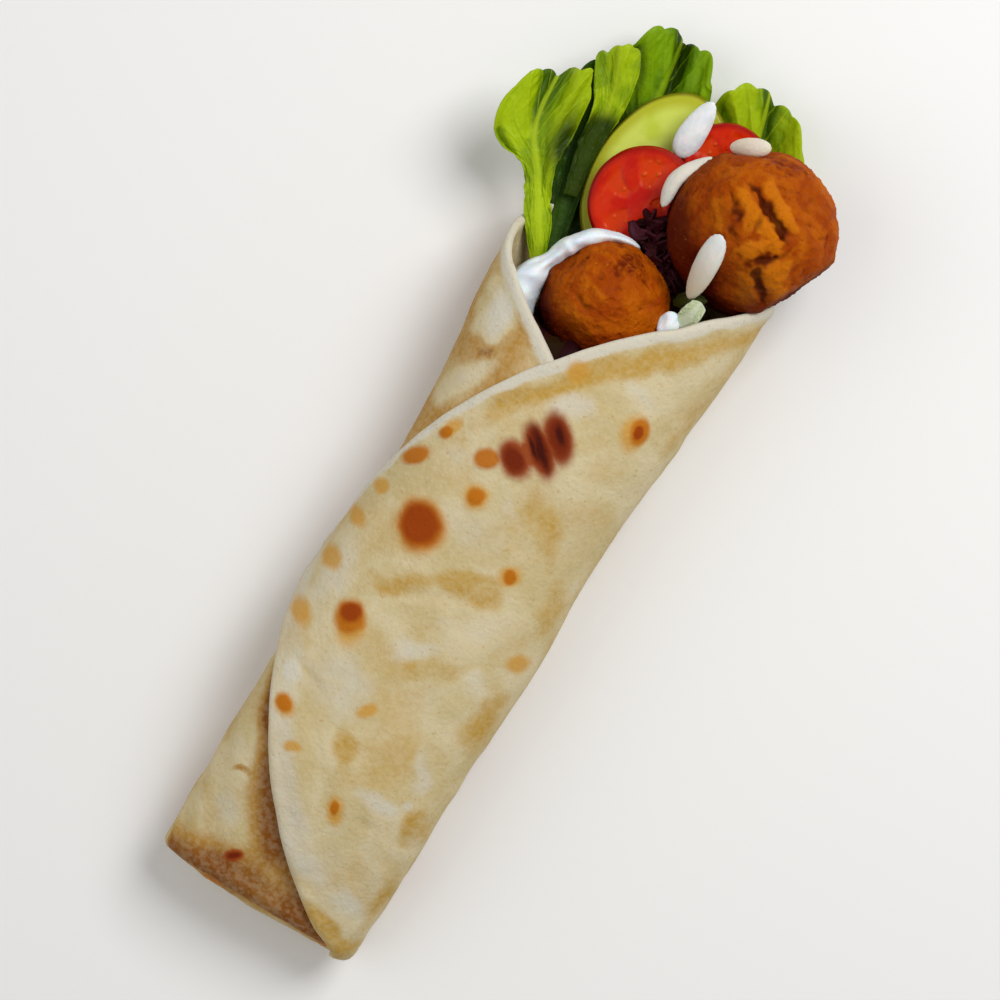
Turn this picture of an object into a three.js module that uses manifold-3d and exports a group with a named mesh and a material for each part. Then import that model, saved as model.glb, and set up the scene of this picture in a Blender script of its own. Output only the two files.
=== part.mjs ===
// A falafel wrap: one flatbread rolled round its filling, folded shut at the foot and open at the mouth, where
// lettuce, a cucumber slice, tomato, onion, white sauce, red cabbage and two falafels show.
// It lies on its back in millimetres: +Y runs from the foot to the mouth, +Z is up, +X is to the right, and the
// origin is on the flat underside, below the long axis and halfway along the bread.
import * as THREE from "three";
import { mergeVertices } from "three/addons/utils/BufferGeometryUtils.js";
import Module from "manifold-3d";

const wasm = await Module();
wasm.setup();

// Driving dimensions of the roll
const FOOT_Y = -110;
const BACK_RIM_Y = 108;
const FOOT_HALF_WIDTH = 33.8;
const FOOT_TAPER = 1.4;
const MOUTH_FLARE = 5.2;
const FOOT_THICKNESS = 27;
const MIDDLE_THICKNESS = 41;
const MOUTH_THICKNESS = 50;
const SQUARENESS = 2.3;
const FLAT_SINK = 1.5;
const BREAD_THICKNESS = 2.3;
const FOOT_ROUND = 5;
const LIP_ROUND = 0.7;

// The outer layer's free edge: a rounded lozenge drawn on the unrolled bread, with its middle on the right of
// the front. Its upper part is the front rim, and its nose lies behind the left side. Each part's curve has one
// power across the roll and one along it.
const FLAP = {
  arc: 42, y: -10, reach: 92, up: 120, down: 100, end: 75,
  upCurve: { across: 1.3, along: 1.2 }, downCurve: { across: 1.9, along: 1.1 },
};
const FLAP_BURIED = 0.8;
const FLAP_SIDE_DIP = 7;
const RIM_UNDER_FLAP = 4;

// The inner layer's rim: it falls from the back rim along the left of the front into a notch under the flap
const NOTCH = { arc: 4, y: 57, slope: 0.73, width: 20 };

// Falafels: middle, radius, and flat cheeks, each with its direction and its distance as a share of the radius
const FALAFEL_LEFT = {
  at: [-2.7, 86.5, 29.5], radius: 18.2, seed: 11,
  cheeks: [[-0.8, 0.3, 0.5, 0.95], [0.4, 0.75, 0.5, 0.94], [-0.1, -0.8, 0.58, 0.92], [0.5, -0.1, 0.86, 0.95]],
};
const FALAFEL_RIGHT = {
  at: [22.3, 124.8, 29.5], radius: 23.8, seed: 29,
  cheeks: [[0.92, -0.39, 0.05, 0.82], [-0.5, 0.84, 0.2, 0.92], [0.55, 0.5, 0.67, 0.96], [-0.5, -0.2, 0.84, 0.96]],
};

// Room kept between neighbours, and round a leaf, whose ruffles are steep
const CLEAR = 0.35;
const LEAF_CLEAR = 0.8;

const COLOURS = {
  bread: 0xdcc79a,
  filling: 0xd8d0bb,
  falafel: 0x9a4708,
  tomato: 0xb92404,
  cucumber: 0xbfca4f,
  lettuce: 0x6f9a14,
  onion: 0xe6e6e2,
  sauce: 0xe9e7df,
  cabbage: 0x3a0c1c,
};

const FULL_TURN = 2 * Math.PI;

// Small helpers

function seededRandom(seed) {
  let state = seed >>> 0;
  return () => {
    state = (state + 0x6d2b79f5) >>> 0;
    let mixed = Math.imul(state ^ (state >>> 15), 1 | state);
    mixed = (mixed + Math.imul(mixed ^ (mixed >>> 7), 61 | mixed)) ^ mixed;
    return ((mixed ^ (mixed >>> 14)) >>> 0) / 4294967296;
  };
}

function smooth(from, to, value) {
  const t = Math.min(Math.max((value - from) / (to - from), 0), 1);
  return t * t * (3 - 2 * t);
}

function mix(a, b, t) {
  return a + (b - a) * t;
}

function bump(value, middle, width) {
  const t = (value - middle) / width;
  return Math.exp(-t * t);
}

// Sum of seeded sine waves in random directions, about -1 to 1
function makeLumps(seed, waves, frequency) {
  const random = seededRandom(seed);
  const parts = [];
  for (let i = 0; i < waves; i += 1) {
    const axis = new THREE.Vector3(random() - 0.5, random() - 0.5, random() - 0.5).normalize();
    parts.push({ axis, pace: frequency * mix(0.6, 1.5, random()), phase: random() * 2 * Math.PI });
  }
  return (point) => parts.reduce((sum, p) => sum + Math.sin(point.dot(p.axis) * p.pace + p.phase), 0)
    / Math.sqrt(waves);
}

// Solids: a solid is a manifold made from points and triangles, turned outward if it came inside out

function solidFrom(points, triangles) {
  const geometry = new THREE.BufferGeometry();
  geometry.setAttribute("position", new THREE.Float32BufferAttribute(points.flat(), 3));
  geometry.setIndex(triangles.flat());
  return solidOf(geometry);
}

function solidOf(source) {
  const bare = source.clone();
  bare.deleteAttribute("normal");
  bare.deleteAttribute("uv");
  const geometry = mergeVertices(bare, 1e-4);
  const position = geometry.getAttribute("position");
  const index = geometry.getIndex().array;
  const triangles = [];
  let volume = 0;
  const corner = [new THREE.Vector3(), new THREE.Vector3(), new THREE.Vector3()];
  for (let i = 0; i < index.length; i += 3) {
    const [a, b, c] = [index[i], index[i + 1], index[i + 2]];
    if (a !== b && b !== c && a !== c) {
      triangles.push(a, b, c);
      [a, b, c].forEach((at, k) => corner[k].fromBufferAttribute(position, at));
      volume += corner[0].dot(corner[1].clone().cross(corner[2]));
    }
  }
  if (volume < 0) triangles.reverse();
  return new wasm.Manifold(new wasm.Mesh({
    numProp: 3,
    vertProperties: new Float32Array(position.array),
    triVerts: new Uint32Array(triangles),
  }));
}

// Cuts away the room of the neighbours and keeps the largest body that is left
function clearOf(solid, neighbours) {
  const cut = neighbours.reduce((rest, neighbour) => rest.subtract(neighbour), solid);
  const bodies = cut.decompose();
  return bodies.reduce((best, body) => (body.volume() > best.volume() ? body : best));
}

// A closed sheet or ring between two grids of points. around joins the last column to the first.
function sheetSolid(rows, columns, around, outer, inner) {
  const points = [];
  for (const side of [outer, inner]) {
    for (let i = 0; i < rows; i += 1) {
      for (let j = 0; j < columns; j += 1) points.push(side(i, j));
    }
  }
  const half = rows * columns;
  const at = (side, i, j) => side * half + i * columns + (j % columns);
  const triangles = [];
  const quad = (a, b, c, d) => triangles.push([a, b, c], [a, c, d]);
  const lastColumn = around ? columns : columns - 1;
  for (let i = 0; i < rows - 1; i += 1) {
    for (let j = 0; j < lastColumn; j += 1) {
      quad(at(0, i, j), at(0, i, j + 1), at(0, i + 1, j + 1), at(0, i + 1, j));
      quad(at(1, i + 1, j), at(1, i + 1, j + 1), at(1, i, j + 1), at(1, i, j));
    }
  }
  for (let j = 0; j < lastColumn; j += 1) {
    quad(at(1, 0, j), at(1, 0, j + 1), at(0, 0, j + 1), at(0, 0, j));
    quad(at(0, rows - 1, j), at(0, rows - 1, j + 1), at(1, rows - 1, j + 1), at(1, rows - 1, j));
  }
  if (!around) {
    for (let i = 0; i < rows - 1; i += 1) {
      quad(at(0, i, 0), at(0, i + 1, 0), at(1, i + 1, 0), at(1, i, 0));
      quad(at(1, i, columns - 1), at(1, i + 1, columns - 1), at(0, i + 1, columns - 1), at(0, i, columns - 1));
    }
  }
  return solidFrom(points, triangles);
}

// The roll's cross-section: a soft superellipse whose underside is pressed flat on z = 0

function halfWidth(y) {
  const waist = 0.9 * bump(y, -14, 18) - 0.5 * bump(y, 22, 20) - 0.6 * bump(y, -60, 26);
  return FOOT_HALF_WIDTH + waist + MOUTH_FLARE * smooth(20, 112, y) - FOOT_TAPER * smooth(-70, FOOT_Y, y);
}

function thickness(y) {
  const lower = mix(FOOT_THICKNESS, MIDDLE_THICKNESS, smooth(FOOT_Y - 12, FOOT_Y + 52, y));
  return lower + (MOUTH_THICKNESS - MIDDLE_THICKNESS) * smooth(-70, 95, y);
}

function middleHeight(y) {
  return thickness(y) / 2 - FLAT_SINK;
}

// Table from distance along the outline, measured from the front's middle, to the turn about the long axis
const TURN_STEPS = 720;
const arcTable = [0];
function outlineAt(turn, y) {
  const power = 2 / SQUARENESS;
  const side = Math.sin(turn);
  const rise = Math.cos(turn);
  return [
    halfWidth(y) * Math.sign(side) * Math.abs(side) ** power,
    (thickness(y) / 2) * Math.sign(rise) * Math.abs(rise) ** power,
  ];
}
for (let i = 1; i <= TURN_STEPS; i += 1) {
  const [x0, z0] = outlineAt(((i - 1) / TURN_STEPS) * Math.PI, 0);
  const [x1, z1] = outlineAt((i / TURN_STEPS) * Math.PI, 0);
  arcTable.push(arcTable[i - 1] + Math.hypot(x1 - x0, z1 - z0));
}
const HALF_GIRTH = arcTable[TURN_STEPS];

function turnAt(arc) {
  const distance = Math.min(Math.abs(arc), HALF_GIRTH);
  let low = 0;
  let high = TURN_STEPS;
  while (high - low > 1) {
    const middle = (low + high) >> 1;
    if (arcTable[middle] <= distance) low = middle;
    else high = middle;
  }
  const part = (distance - arcTable[low]) / (arcTable[high] - arcTable[low]);
  return Math.sign(arc) * ((low + part) / TURN_STEPS) * Math.PI;
}

// Slow swells of the soft bread, pushed in and out of the outline
const breadLumps = makeLumps(5, 5, 0.055);
function swell(x, y, z) {
  return 0.45 * breadLumps(new THREE.Vector3(x, y, z)) * smooth(FOOT_Y, FOOT_Y + 20, y);
}

// A point of the bread at a distance round the outline, a distance along and a depth under the outer face.
// Near the foot the face turns in round a corner, so that the depth there runs along the roll.
function onRoll(arc, y, depth) {
  const rise = Math.min(Math.max(y - FOOT_Y, 0), FOOT_ROUND);
  const corner = Math.acos(1 - rise / FOOT_ROUND);
  const [x, z] = outlineAt(turnAt(arc), y);
  const slopeX = (Math.abs(x / halfWidth(y)) ** (SQUARENESS - 1) * Math.sign(x)) / halfWidth(y);
  const slopeZ = (Math.abs((2 * z) / thickness(y)) ** (SQUARENESS - 1) * Math.sign(z) * 2) / thickness(y);
  const length = Math.hypot(slopeX, slopeZ);
  const under = depth * Math.sin(corner);
  const inset = FOOT_ROUND * (1 - Math.sin(corner)) + under - swell(x, y, z);
  const floor = under + FOOT_ROUND * (1 - Math.sin(corner));
  return [
    x - (inset * slopeX) / length,
    y + depth * Math.cos(corner),
    Math.max(middleHeight(y) + z - (inset * slopeZ) / length, floor),
  ];
}

// The bread: an inner layer all the way round, a flap over its front, and the folded-in foot

// How far the flap covers the inner layer, which lies one thickness deeper there
function covered(arc) {
  return arc > 0 ? 1 - smooth(54, 74, arc) : 1 - smooth(58, 77, -arc);
}

function flapCurve(arc, { across, along: lengthwise }) {
  const share = Math.min(Math.abs(Math.min(arc - FLAP.arc, 0)) / FLAP.reach, 1);
  return (1 - share ** across) ** (1 / lengthwise);
}

function flapTop(arc) {
  return FLAP.y + FLAP.up * flapCurve(arc, FLAP.upCurve) - FLAP_SIDE_DIP * smooth(58, FLAP.end, arc);
}

function flapBottom(arc) {
  return FLAP.y - FLAP.down * flapCurve(arc, FLAP.downCurve);
}

function innerRim(arc) {
  const left = NOTCH.y + NOTCH.slope * (NOTCH.arc - arc);
  const underFlap = flapTop(Math.min(arc, FLAP.arc)) - RIM_UNDER_FLAP;
  const right = mix(NOTCH.y, underFlap, smooth(NOTCH.arc, NOTCH.arc + NOTCH.width, arc));
  const side = mix(right, BACK_RIM_Y, smooth(60, 80, arc));
  return Math.min(arc < NOTCH.arc ? left : side, BACK_RIM_Y);
}

// Distances along a column from its low end to its high end, close together at the foot's corner and the lips
function stations(low, high, inner, lowSteps) {
  const lip = Math.min(1.8, (high - low) * 0.2);
  const start = lowSteps.length ? lowSteps : [0, lip];
  const first = low + start[start.length - 1];
  const last = high - lip;
  const list = start.map((step) => low + step);
  for (let i = 1; i <= inner; i += 1) list.push(mix(first, last, i / inner));
  list.push(high);
  return list;
}

const FOOT_STEPS = [0, 0.25, 1.0, 2.4, FOOT_ROUND, 9];
const INNER_ROWS = 13;
const INNER_COLUMNS = 42;

function breadInnerLayer(grow) {
  const rows = FOOT_STEPS.length + INNER_ROWS + 1;
  const arcOf = (j) => mix(-HALF_GIRTH, HALF_GIRTH, j / INNER_COLUMNS);
  const columns = [];
  for (let j = 0; j < INNER_COLUMNS; j += 1) {
    columns.push(stations(FOOT_Y, innerRim(arcOf(j)) + grow, INNER_ROWS, FOOT_STEPS));
  }
  const point = (i, j, inside) => {
    const arc = arcOf(j);
    const top = covered(arc) * BREAD_THICKNESS;
    const lip = i === rows - 1 ? LIP_ROUND : 0;
    const depth = inside ? top + BREAD_THICKNESS + grow - lip : top - grow + lip;
    return onRoll(arc, columns[j][i], depth);
  };
  return sheetSolid(rows, INNER_COLUMNS, true, (i, j) => point(i, j, false), (i, j) => point(i, j, true));
}

const NOSE_COLUMNS = 14;
const SIDE_COLUMNS = 8;
const FLAP_ROWS = 12;

function breadFlap(grow) {
  const nose = FLAP.arc - FLAP.reach;
  const arcs = [];
  for (let j = 0; j < NOSE_COLUMNS; j += 1) {
    const turn = mix(0.06, Math.PI / 2, j / (NOSE_COLUMNS - 1));
    arcs.push(nose + FLAP.reach * (1 - Math.cos(turn)));
  }
  for (let j = 1; j <= SIDE_COLUMNS; j += 1) arcs.push(mix(FLAP.arc, FLAP.end, j / SIDE_COLUMNS));
  const columns = arcs.map((arc) => stations(flapBottom(arc) - grow, flapTop(arc) + grow, FLAP_ROWS, []));
  const rows = columns[0].length;
  const point = (i, j, inside) => {
    const arc = arcs[j];
    const sinking = smooth(62, FLAP.end, arc);
    const edge = i === 0 || i === rows - 1 || j === 0 ? LIP_ROUND : 0;
    const outside = 0.5 * sinking - grow + edge;
    const inner = BREAD_THICKNESS + FLAP_BURIED - 1.3 * sinking + grow - edge;
    return onRoll(arc, columns[j][i], inside ? inner : outside);
  };
  return sheetSolid(rows, arcs.length, false, (i, j) => point(i, j, false), (i, j) => point(i, j, true));
}

const PLUG_RINGS = 4;
const PLUG_COLUMNS = 30;
const PLUG_THICKNESS = 4;
const FOLD_STEP = 1.6;

// The bread's end folded in over the foot: an upper panel that laps over a lower one
function breadFoot() {
  const middle = [0, middleHeight(FOOT_Y)];
  const points = (inside) => (i, j) => {
    const arc = mix(-HALF_GIRTH, HALF_GIRTH, j / PLUG_COLUMNS);
    const share = (PLUG_RINGS - i) / PLUG_RINGS;
    const [edgeX, , edgeZ] = onRoll(arc, FOOT_Y + 0.02, 0);
    const x = mix(middle[0], edgeX, share * 1.04);
    const z = mix(middle[1], edgeZ, share * 1.04);
    const lap = FOLD_STEP * smooth(1.2, -1.2, z - middle[1] - 0.1 * x + 2);
    const face = FOOT_Y + 0.5 + covered(arc) * BREAD_THICKNESS * share ** 3 + lap * (1 - share ** 4);
    return [x, inside ? face + PLUG_THICKNESS : face, z];
  };
  return sheetSolid(PLUG_RINGS + 1, PLUG_COLUMNS, true, points(false), points(true));
}

function flatbread(grow = 0) {
  return breadInnerLayer(grow).add(breadFlap(grow)).add(breadFoot());
}

// The mixed filling, which runs through the roll from just inside the foot to below the pieces at the mouth

const FILLING_TOP = 77;
const FILLING_ROWS = 9;
const FILLING_COLUMNS = 30;
const FILLING_ROOM = 0.9;
const fillingLumps = makeLumps(17, 6, 0.22);

function filling(grow = 0) {
  const rows = FILLING_ROWS + 2;
  const low = FOOT_Y + 12;
  const outside = (i, j) => {
    const arc = mix(-HALF_GIRTH, HALF_GIRTH, j / FILLING_COLUMNS);
    const row = Math.min(Math.max(i - 1, 0), FILLING_ROWS - 1);
    const along = row / (FILLING_ROWS - 1);
    const narrow = 5 * bump(along, 0, 0.06) + 3 * bump(along, 1, 0.05);
    const depth = (1 + covered(arc)) * BREAD_THICKNESS + FILLING_ROOM - grow + narrow;
    const [x, , z] = onRoll(arc, mix(low, FILLING_TOP - 6, along), depth);
    const end = i === 0 || i === rows - 1;
    const height = middleHeight(FILLING_TOP);
    const point = new THREE.Vector3(end ? 0 : x, 0, end ? height : z);
    const top = FILLING_TOP - 6 + 3.5 * fillingLumps(point) + 5 * smooth(30, 8, point.z) + grow;
    const y = row === FILLING_ROWS - 1 ? top : mix(low, FILLING_TOP - 6, along);
    return [point.x, end && i === 0 ? low - 2 : y, point.z];
  };
  const points = [];
  for (let i = 0; i < rows; i += 1) {
    for (let j = 0; j < FILLING_COLUMNS; j += 1) points.push(outside(i, j));
  }
  const triangles = [];
  const at = (i, j) => i * FILLING_COLUMNS + (j % FILLING_COLUMNS);
  for (let i = 0; i < rows - 1; i += 1) {
    for (let j = 0; j < FILLING_COLUMNS; j += 1) {
      triangles.push([at(i, j), at(i, j + 1), at(i + 1, j + 1)], [at(i, j), at(i + 1, j + 1), at(i + 1, j)]);
    }
  }
  return solidFrom(points, triangles);
}

// A falafel: a ball with lumps, small crags and, on the right-hand one, cracks in the crust

const CRACKS = [
  { from: [-0.33, 0.42, 0.84], to: [0.39, 0.09, 0.91], depth: 1.8, width: 0.08 },
  { from: [0.01, -0.54, 0.84], to: [0.48, 0.01, 0.88], depth: 1.5, width: 0.08 },
  { from: [0.2, -0.36, 0.91], to: [0.52, -0.67, 0.52], depth: 1.3, width: 0.08 },
];

function crackDepth(direction) {
  return CRACKS.reduce((deepest, crack) => {
    const line = new THREE.Line3(
      new THREE.Vector3(...crack.from).normalize(),
      new THREE.Vector3(...crack.to).normalize(),
    );
    const nearest = line.closestPointToPoint(direction, true, new THREE.Vector3()).normalize();
    return Math.max(deepest, crack.depth * bump(nearest.distanceTo(direction), 0, crack.width));
  }, 0);
}

function falafel({ at, radius, seed, cheeks }, cracked, grow = 0) {
  const geometry = new THREE.IcosahedronGeometry(1, cracked ? 6 : 5);
  const position = geometry.getAttribute("position");
  const lumps = makeLumps(seed, 5, 3.1);
  const crags = makeLumps(seed + 1, 8, 9);
  const direction = new THREE.Vector3();
  for (let i = 0; i < position.count; i += 1) {
    direction.fromBufferAttribute(position, i).normalize();
    const relief = 0.55 * lumps(direction) + 0.45 * crags(direction) - (cracked ? crackDepth(direction) : 0);
    const flat = cheeks.reduce((nearest, [x, y, z, share]) => {
      const facing = direction.dot(new THREE.Vector3(x, y, z).normalize());
      return facing > 0.5 ? Math.min(nearest, (radius * share) / facing) : nearest;
    }, radius);
    const reach = flat + relief + grow;
    position.setXYZ(i, at[0] + direction.x * reach, at[1] + direction.y * reach, at[2] + direction.z * reach);
  }
  return solidOf(geometry);
}

// A round or oval slice with soft edges, tipped so that its far end rises

function slice({ at, radii, thickness: thick, rise, lean }, grow = 0) {
  const half = thick / 2 + grow;
  const edge = thick * 0.28;
  const profile = [
    [0, -half], [1 - edge / radii[0], -half], [1, -half * 0.45],
    [1, half * 0.45], [1 - edge / radii[0], half], [0, half],
  ].map(([across, up]) => new THREE.Vector2(across, up));
  const geometry = new THREE.LatheGeometry(profile, 30);
  geometry.rotateX(Math.PI / 2);
  geometry.scale(radii[0] + grow, radii[1] + grow, 1);
  geometry.rotateX(rise);
  geometry.rotateY(lean);
  geometry.translate(...at);
  return solidOf(geometry);
}

const TOMATO_FRONT = { at: [-8.2, 117, 19.5], radii: [15.5, 16.3], thickness: 5, rise: 0.16, lean: -0.06 };
const TOMATO_BACK = { at: [6.5, 137.6, 18], radii: [12.8, 12.7], thickness: 4.5, rise: 0.1, lean: 0.05 };
const CUCUMBER = { at: [-8.5, 124, 12.2], radii: [18.2, 27.6], thickness: 3.2, rise: 0.09, lean: -0.05 };

// A leaf: a thin sheet with a ruffled, lobed margin, either between a left and a right edge or along a spine.
// Petals and shreds are plain small leaves.

function along(values, v) {
  const at = Math.min(Math.max(v, 0), 1) * (values.length - 1);
  const i = Math.min(Math.floor(at), values.length - 2);
  return mix(values[i], values[i + 1], smooth(0, 1, at - i));
}

function curveThrough(points) {
  return new THREE.CatmullRomCurve3(points.map((point) => new THREE.Vector3(...point)));
}

// At a share of a leaf's length: its middle, the ways along and across it, and its half width
function frameBetween(left, right) {
  const [leftCurve, rightCurve] = [curveThrough(left), curveThrough(right)];
  const middle = (v) => leftCurve.getPoint(v).lerp(rightCurve.getPoint(v), 0.5);
  return (v) => {
    const side = rightCurve.getPoint(v).sub(leftCurve.getPoint(v));
    const tangent = middle(Math.min(v + 0.01, 1)).sub(middle(Math.max(v - 0.01, 0))).normalize();
    return { centre: middle(v), tangent, half: side.length() / 2, side: side.normalize() };
  };
}

function frameAlong(spine, widths, roll) {
  const curve = curveThrough(spine);
  return (v) => {
    const tangent = curve.getTangent(v);
    const side = new THREE.Vector3().crossVectors(tangent, new THREE.Vector3(0, 0, 1)).normalize();
    return { centre: curve.getPoint(v), tangent, half: along(widths, v), side: side.applyAxisAngle(tangent, roll) };
  };
}

function leaf(spec, grow = 0) {
  const { thickness: thick, across, lengthwise } = spec;
  const { cup = 0, ruffle = 0, waves = 0, lobe = 0, round = 0.12, roll = 0, seed = 1 } = spec;
  const frameAt = spec.left ? frameBetween(spec.left, spec.right) : frameAlong(spec.spine, spec.widths, roll);
  const phase = seededRandom(seed)() * 2 * Math.PI;
  const middle = (i, j) => {
    const u = mix(-1, 1, j / (across - 1));
    const v = i / (lengthwise - 1);
    const margin = Math.max(Math.abs(u), smooth(0.72, 1, v)) ** 2;
    const wave = waves * (v + 0.18 * u * Math.sign(u));
    const reach = v * (1 - round * u * u) + 0.03 * lobe * margin * Math.sin(wave * 6 + phase);
    const { centre, tangent, half: plainHalf, side } = frameAt(Math.min(Math.max(reach, 0), 1));
    const normal = new THREE.Vector3().crossVectors(side, tangent).normalize();
    const half = plainHalf * (1 + 0.09 * lobe * Math.sin(wave * FULL_TURN + phase * 2));
    const lift = cup * u * u * half
      + ruffle * margin * smooth(0.15, 0.5, v) * Math.sin(wave * FULL_TURN + phase + u * 2.2);
    centre.addScaledVector(side, u * half).addScaledVector(normal, lift);
    if (j === 0 || j === across - 1) centre.addScaledVector(side, Math.sign(u) * grow);
    if (i === 0) centre.addScaledVector(tangent, -grow);
    if (i === lengthwise - 1) centre.addScaledVector(tangent, grow);
    return { point: centre, normal };
  };
  const face = (sign) => (i, j) => {
    const { point, normal } = middle(i, j);
    const rim = i === 0 || i === lengthwise - 1 || j === 0 || j === across - 1;
    const half = (thick / 2) * (rim ? 0.55 : 1) + grow;
    const moved = point.addScaledVector(normal, sign * half);
    return [moved.x, moved.y, moved.z];
  };
  return sheetSolid(lengthwise, across, false, face(1), face(-1));
}

const LETTUCE_LEFT = {
  left: [[-25, 84.5, 16], [-35, 96.5, 19], [-42.5, 108, 21], [-55.5, 113.5, 24], [-56, 131.5, 26]],
  right: [[-22.8, 86, 16], [-26.8, 98, 18.5], [-33.5, 109, 20], [-34.8, 125, 22], [-38.5, 142, 24]],
  thickness: 1.3, across: 11, lengthwise: 15, cup: 0.1, ruffle: 2.2, waves: 2.6, lobe: 0.8, round: 0.04, seed: 3,
};
const LETTUCE_CURL = {
  left: [[-29, 108, 13], [-32.5, 121, 14.5], [-35, 134, 16.5], [-43.2, 147.5, 20]],
  right: [[-25, 109, 12.5], [-26.5, 122, 14], [-26.3, 137, 16], [-29.5, 155, 19]],
  thickness: 1.3, across: 7, lengthwise: 11, cup: 0.25, ruffle: 1.5, waves: 2, lobe: 0.6, round: 0.04, seed: 5,
};
const LETTUCE_BACK = {
  left: [[-23, 88, 5.5], [-27, 106, 5.2], [-31.5, 126, 6.5], [-34.5, 145, 8.5], [-33, 162, 13]],
  right: [[-4, 88, 5.5], [-2.5, 108, 5.2], [-4, 128, 6.2], [-6.5, 147, 8], [-13.5, 165.5, 13]],
  thickness: 1.3, across: 11, lengthwise: 15, cup: 0.06, ruffle: 2.4, waves: 3, lobe: 0.8, round: 0.05, seed: 8,
};
const LETTUCE_RIGHT = {
  left: [[1, 90, 5], [0, 110, 4.8], [-2, 130, 6], [-6, 146, 8.5], [-7, 161, 13]],
  right: [[17, 92, 5], [24, 110, 5], [28.5, 127, 6.5], [28.5, 142, 9], [19, 164, 13]],
  thickness: 1.3, across: 10, lengthwise: 13, cup: 0.06, ruffle: 2, waves: 2.8, lobe: 0.8, round: 0.1, seed: 21,
};

const ONION_PETAL = {
  spine: [[-6.8, 133, 20], [-6.5, 141.5, 22.6], [-6, 151, 23]],
  widths: [1.4, 4, 3.8, 1.2], thickness: 2, across: 6, lengthwise: 8, cup: -0.25, round: 0,
};
const ONION_TOP = {
  spine: [[4.4, 142, 30], [9.5, 144.6, 34.5], [14.4, 147, 35.5]],
  widths: [1.2, 2.6, 2.4, 1], thickness: 2.2, across: 6, lengthwise: 8, cup: -0.3, round: 0,
};
const ONION_SIDE = {
  spine: [[-3.9, 118.3, 30], [-4.6, 127.5, 31], [1.2, 137.4, 30.5]],
  widths: [1.1, 2.8, 2.6, 1], thickness: 2.2, across: 6, lengthwise: 9, cup: -0.25, round: 0, roll: -0.7,
};
const ONION_SLIVER = {
  spine: [[16.3, 99.3, 40.5], [15.4, 108.6, 47.8], [14.8, 118, 52]],
  widths: [1.5, 3.6, 3.4, 1.2], thickness: 2.2, across: 6, lengthwise: 9, cup: -0.3, round: 0, roll: -0.3,
};
const PALE_GREEN = {
  spine: [[17.6, 91.2, 37.5], [19.2, 95.8, 41], [19.8, 100, 42.5]],
  widths: [2, 2.9, 2.2], thickness: 1.6, across: 6, lengthwise: 6, cup: 0.3, round: 0.1,
};

// White sauce banked against the left falafel, from the notch in the bread round to its far side

// The bank's middle line runs from near the falafel's edge at its start to further out at its end
const SAUCE = {
  from: Math.PI * 0.49, to: Math.PI * 1.21, reachStart: 18.4, reachEnd: 23.2, wideStart: 2.7, wideEnd: 5.6,
  widens: [0.5, 0.8], tall: 11.5, height: 26.8,
};

function sauce() {
  const steps = 14;
  const sides = 10;
  const lumps = makeLumps(41, 5, 0.35);
  const points = [];
  for (let i = 0; i <= steps; i += 1) {
    const t = i / steps;
    const turn = mix(SAUCE.from, SAUCE.to, t);
    const swelling = Math.max(Math.sin(Math.PI * t), 0) ** 0.45;
    const far = smooth(...SAUCE.widens, t);
    for (let j = 0; j < sides; j += 1) {
      const around = (j / sides) * 2 * Math.PI;
      const probe = new THREE.Vector3(20 * Math.cos(turn), 20 * Math.sin(turn), 8 * Math.sin(around));
      const size = swelling * (1 + 0.13 * lumps(probe));
      const middle = mix(SAUCE.reachStart, SAUCE.reachEnd, far);
      const reach = middle + mix(SAUCE.wideStart, SAUCE.wideEnd, far) * size * Math.cos(around);
      points.push([
        FALAFEL_LEFT.at[0] + reach * Math.cos(turn),
        FALAFEL_LEFT.at[1] + reach * Math.sin(turn),
        SAUCE.height + SAUCE.tall * size * Math.sin(around) + 3 * t,
      ]);
    }
  }
  const triangles = [];
  const at = (i, j) => i * sides + (j % sides);
  for (let i = 0; i < steps; i += 1) {
    for (let j = 0; j < sides; j += 1) {
      triangles.push([at(i, j), at(i, j + 1), at(i + 1, j + 1)], [at(i, j), at(i + 1, j + 1), at(i + 1, j)]);
    }
  }
  return solidFrom(points, triangles);
}

// Shreds of red cabbage in the gap between the falafels, joined into one heap

const CABBAGE = { at: [6.5, 103, 22], radii: [15, 8, 9], turn: -0.68 };

function redCabbage() {
  const random = seededRandom(77);
  const upward = new THREE.Vector3(0, 0, 1);
  const shred = (k) => {
    const out = 8 * (k - 1.5);
    const bow = (random() - 0.5) * 6;
    const spine = [[out - 7, -5, -4], [out, 3 + bow, 5], [out + 7, 2, 3 - k]].map((point) => {
      const moved = new THREE.Vector3(...point).applyAxisAngle(upward, CABBAGE.turn);
      return moved.add(new THREE.Vector3(...CABBAGE.at)).toArray();
    });
    return leaf({
      spine, widths: [2.4, 3.2, 2.8, 1.5], thickness: 2, across: 4, lengthwise: 6, roll: 0.5 * (random() - 0.5),
      round: 0,
    });
  };
  const heart = new THREE.IcosahedronGeometry(1, 1);
  heart.scale(...CABBAGE.radii);
  heart.rotateZ(CABBAGE.turn);
  heart.translate(...CABBAGE.at);
  return [0, 1, 2, 3].reduce((heap, k) => heap.add(shred(k)), solidOf(heart));
}

// Placing the pieces: each one is cut clear of those before it

const wrap = new THREE.Group();
wrap.name = "falafel_wrap";

function addPiece(name, solid, colour, roughness) {
  const mesh = solid.getMesh();
  const geometry = new THREE.BufferGeometry();
  geometry.setAttribute("position", new THREE.BufferAttribute(new Float32Array(mesh.vertProperties), 3));
  geometry.setIndex(new THREE.BufferAttribute(new Uint32Array(mesh.triVerts), 1));
  geometry.computeVertexNormals();
  const material = new THREE.MeshStandardMaterial({ color: colour, roughness, metalness: 0 });
  const piece = new THREE.Mesh(geometry, material);
  piece.name = name;
  wrap.add(piece);
}

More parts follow.
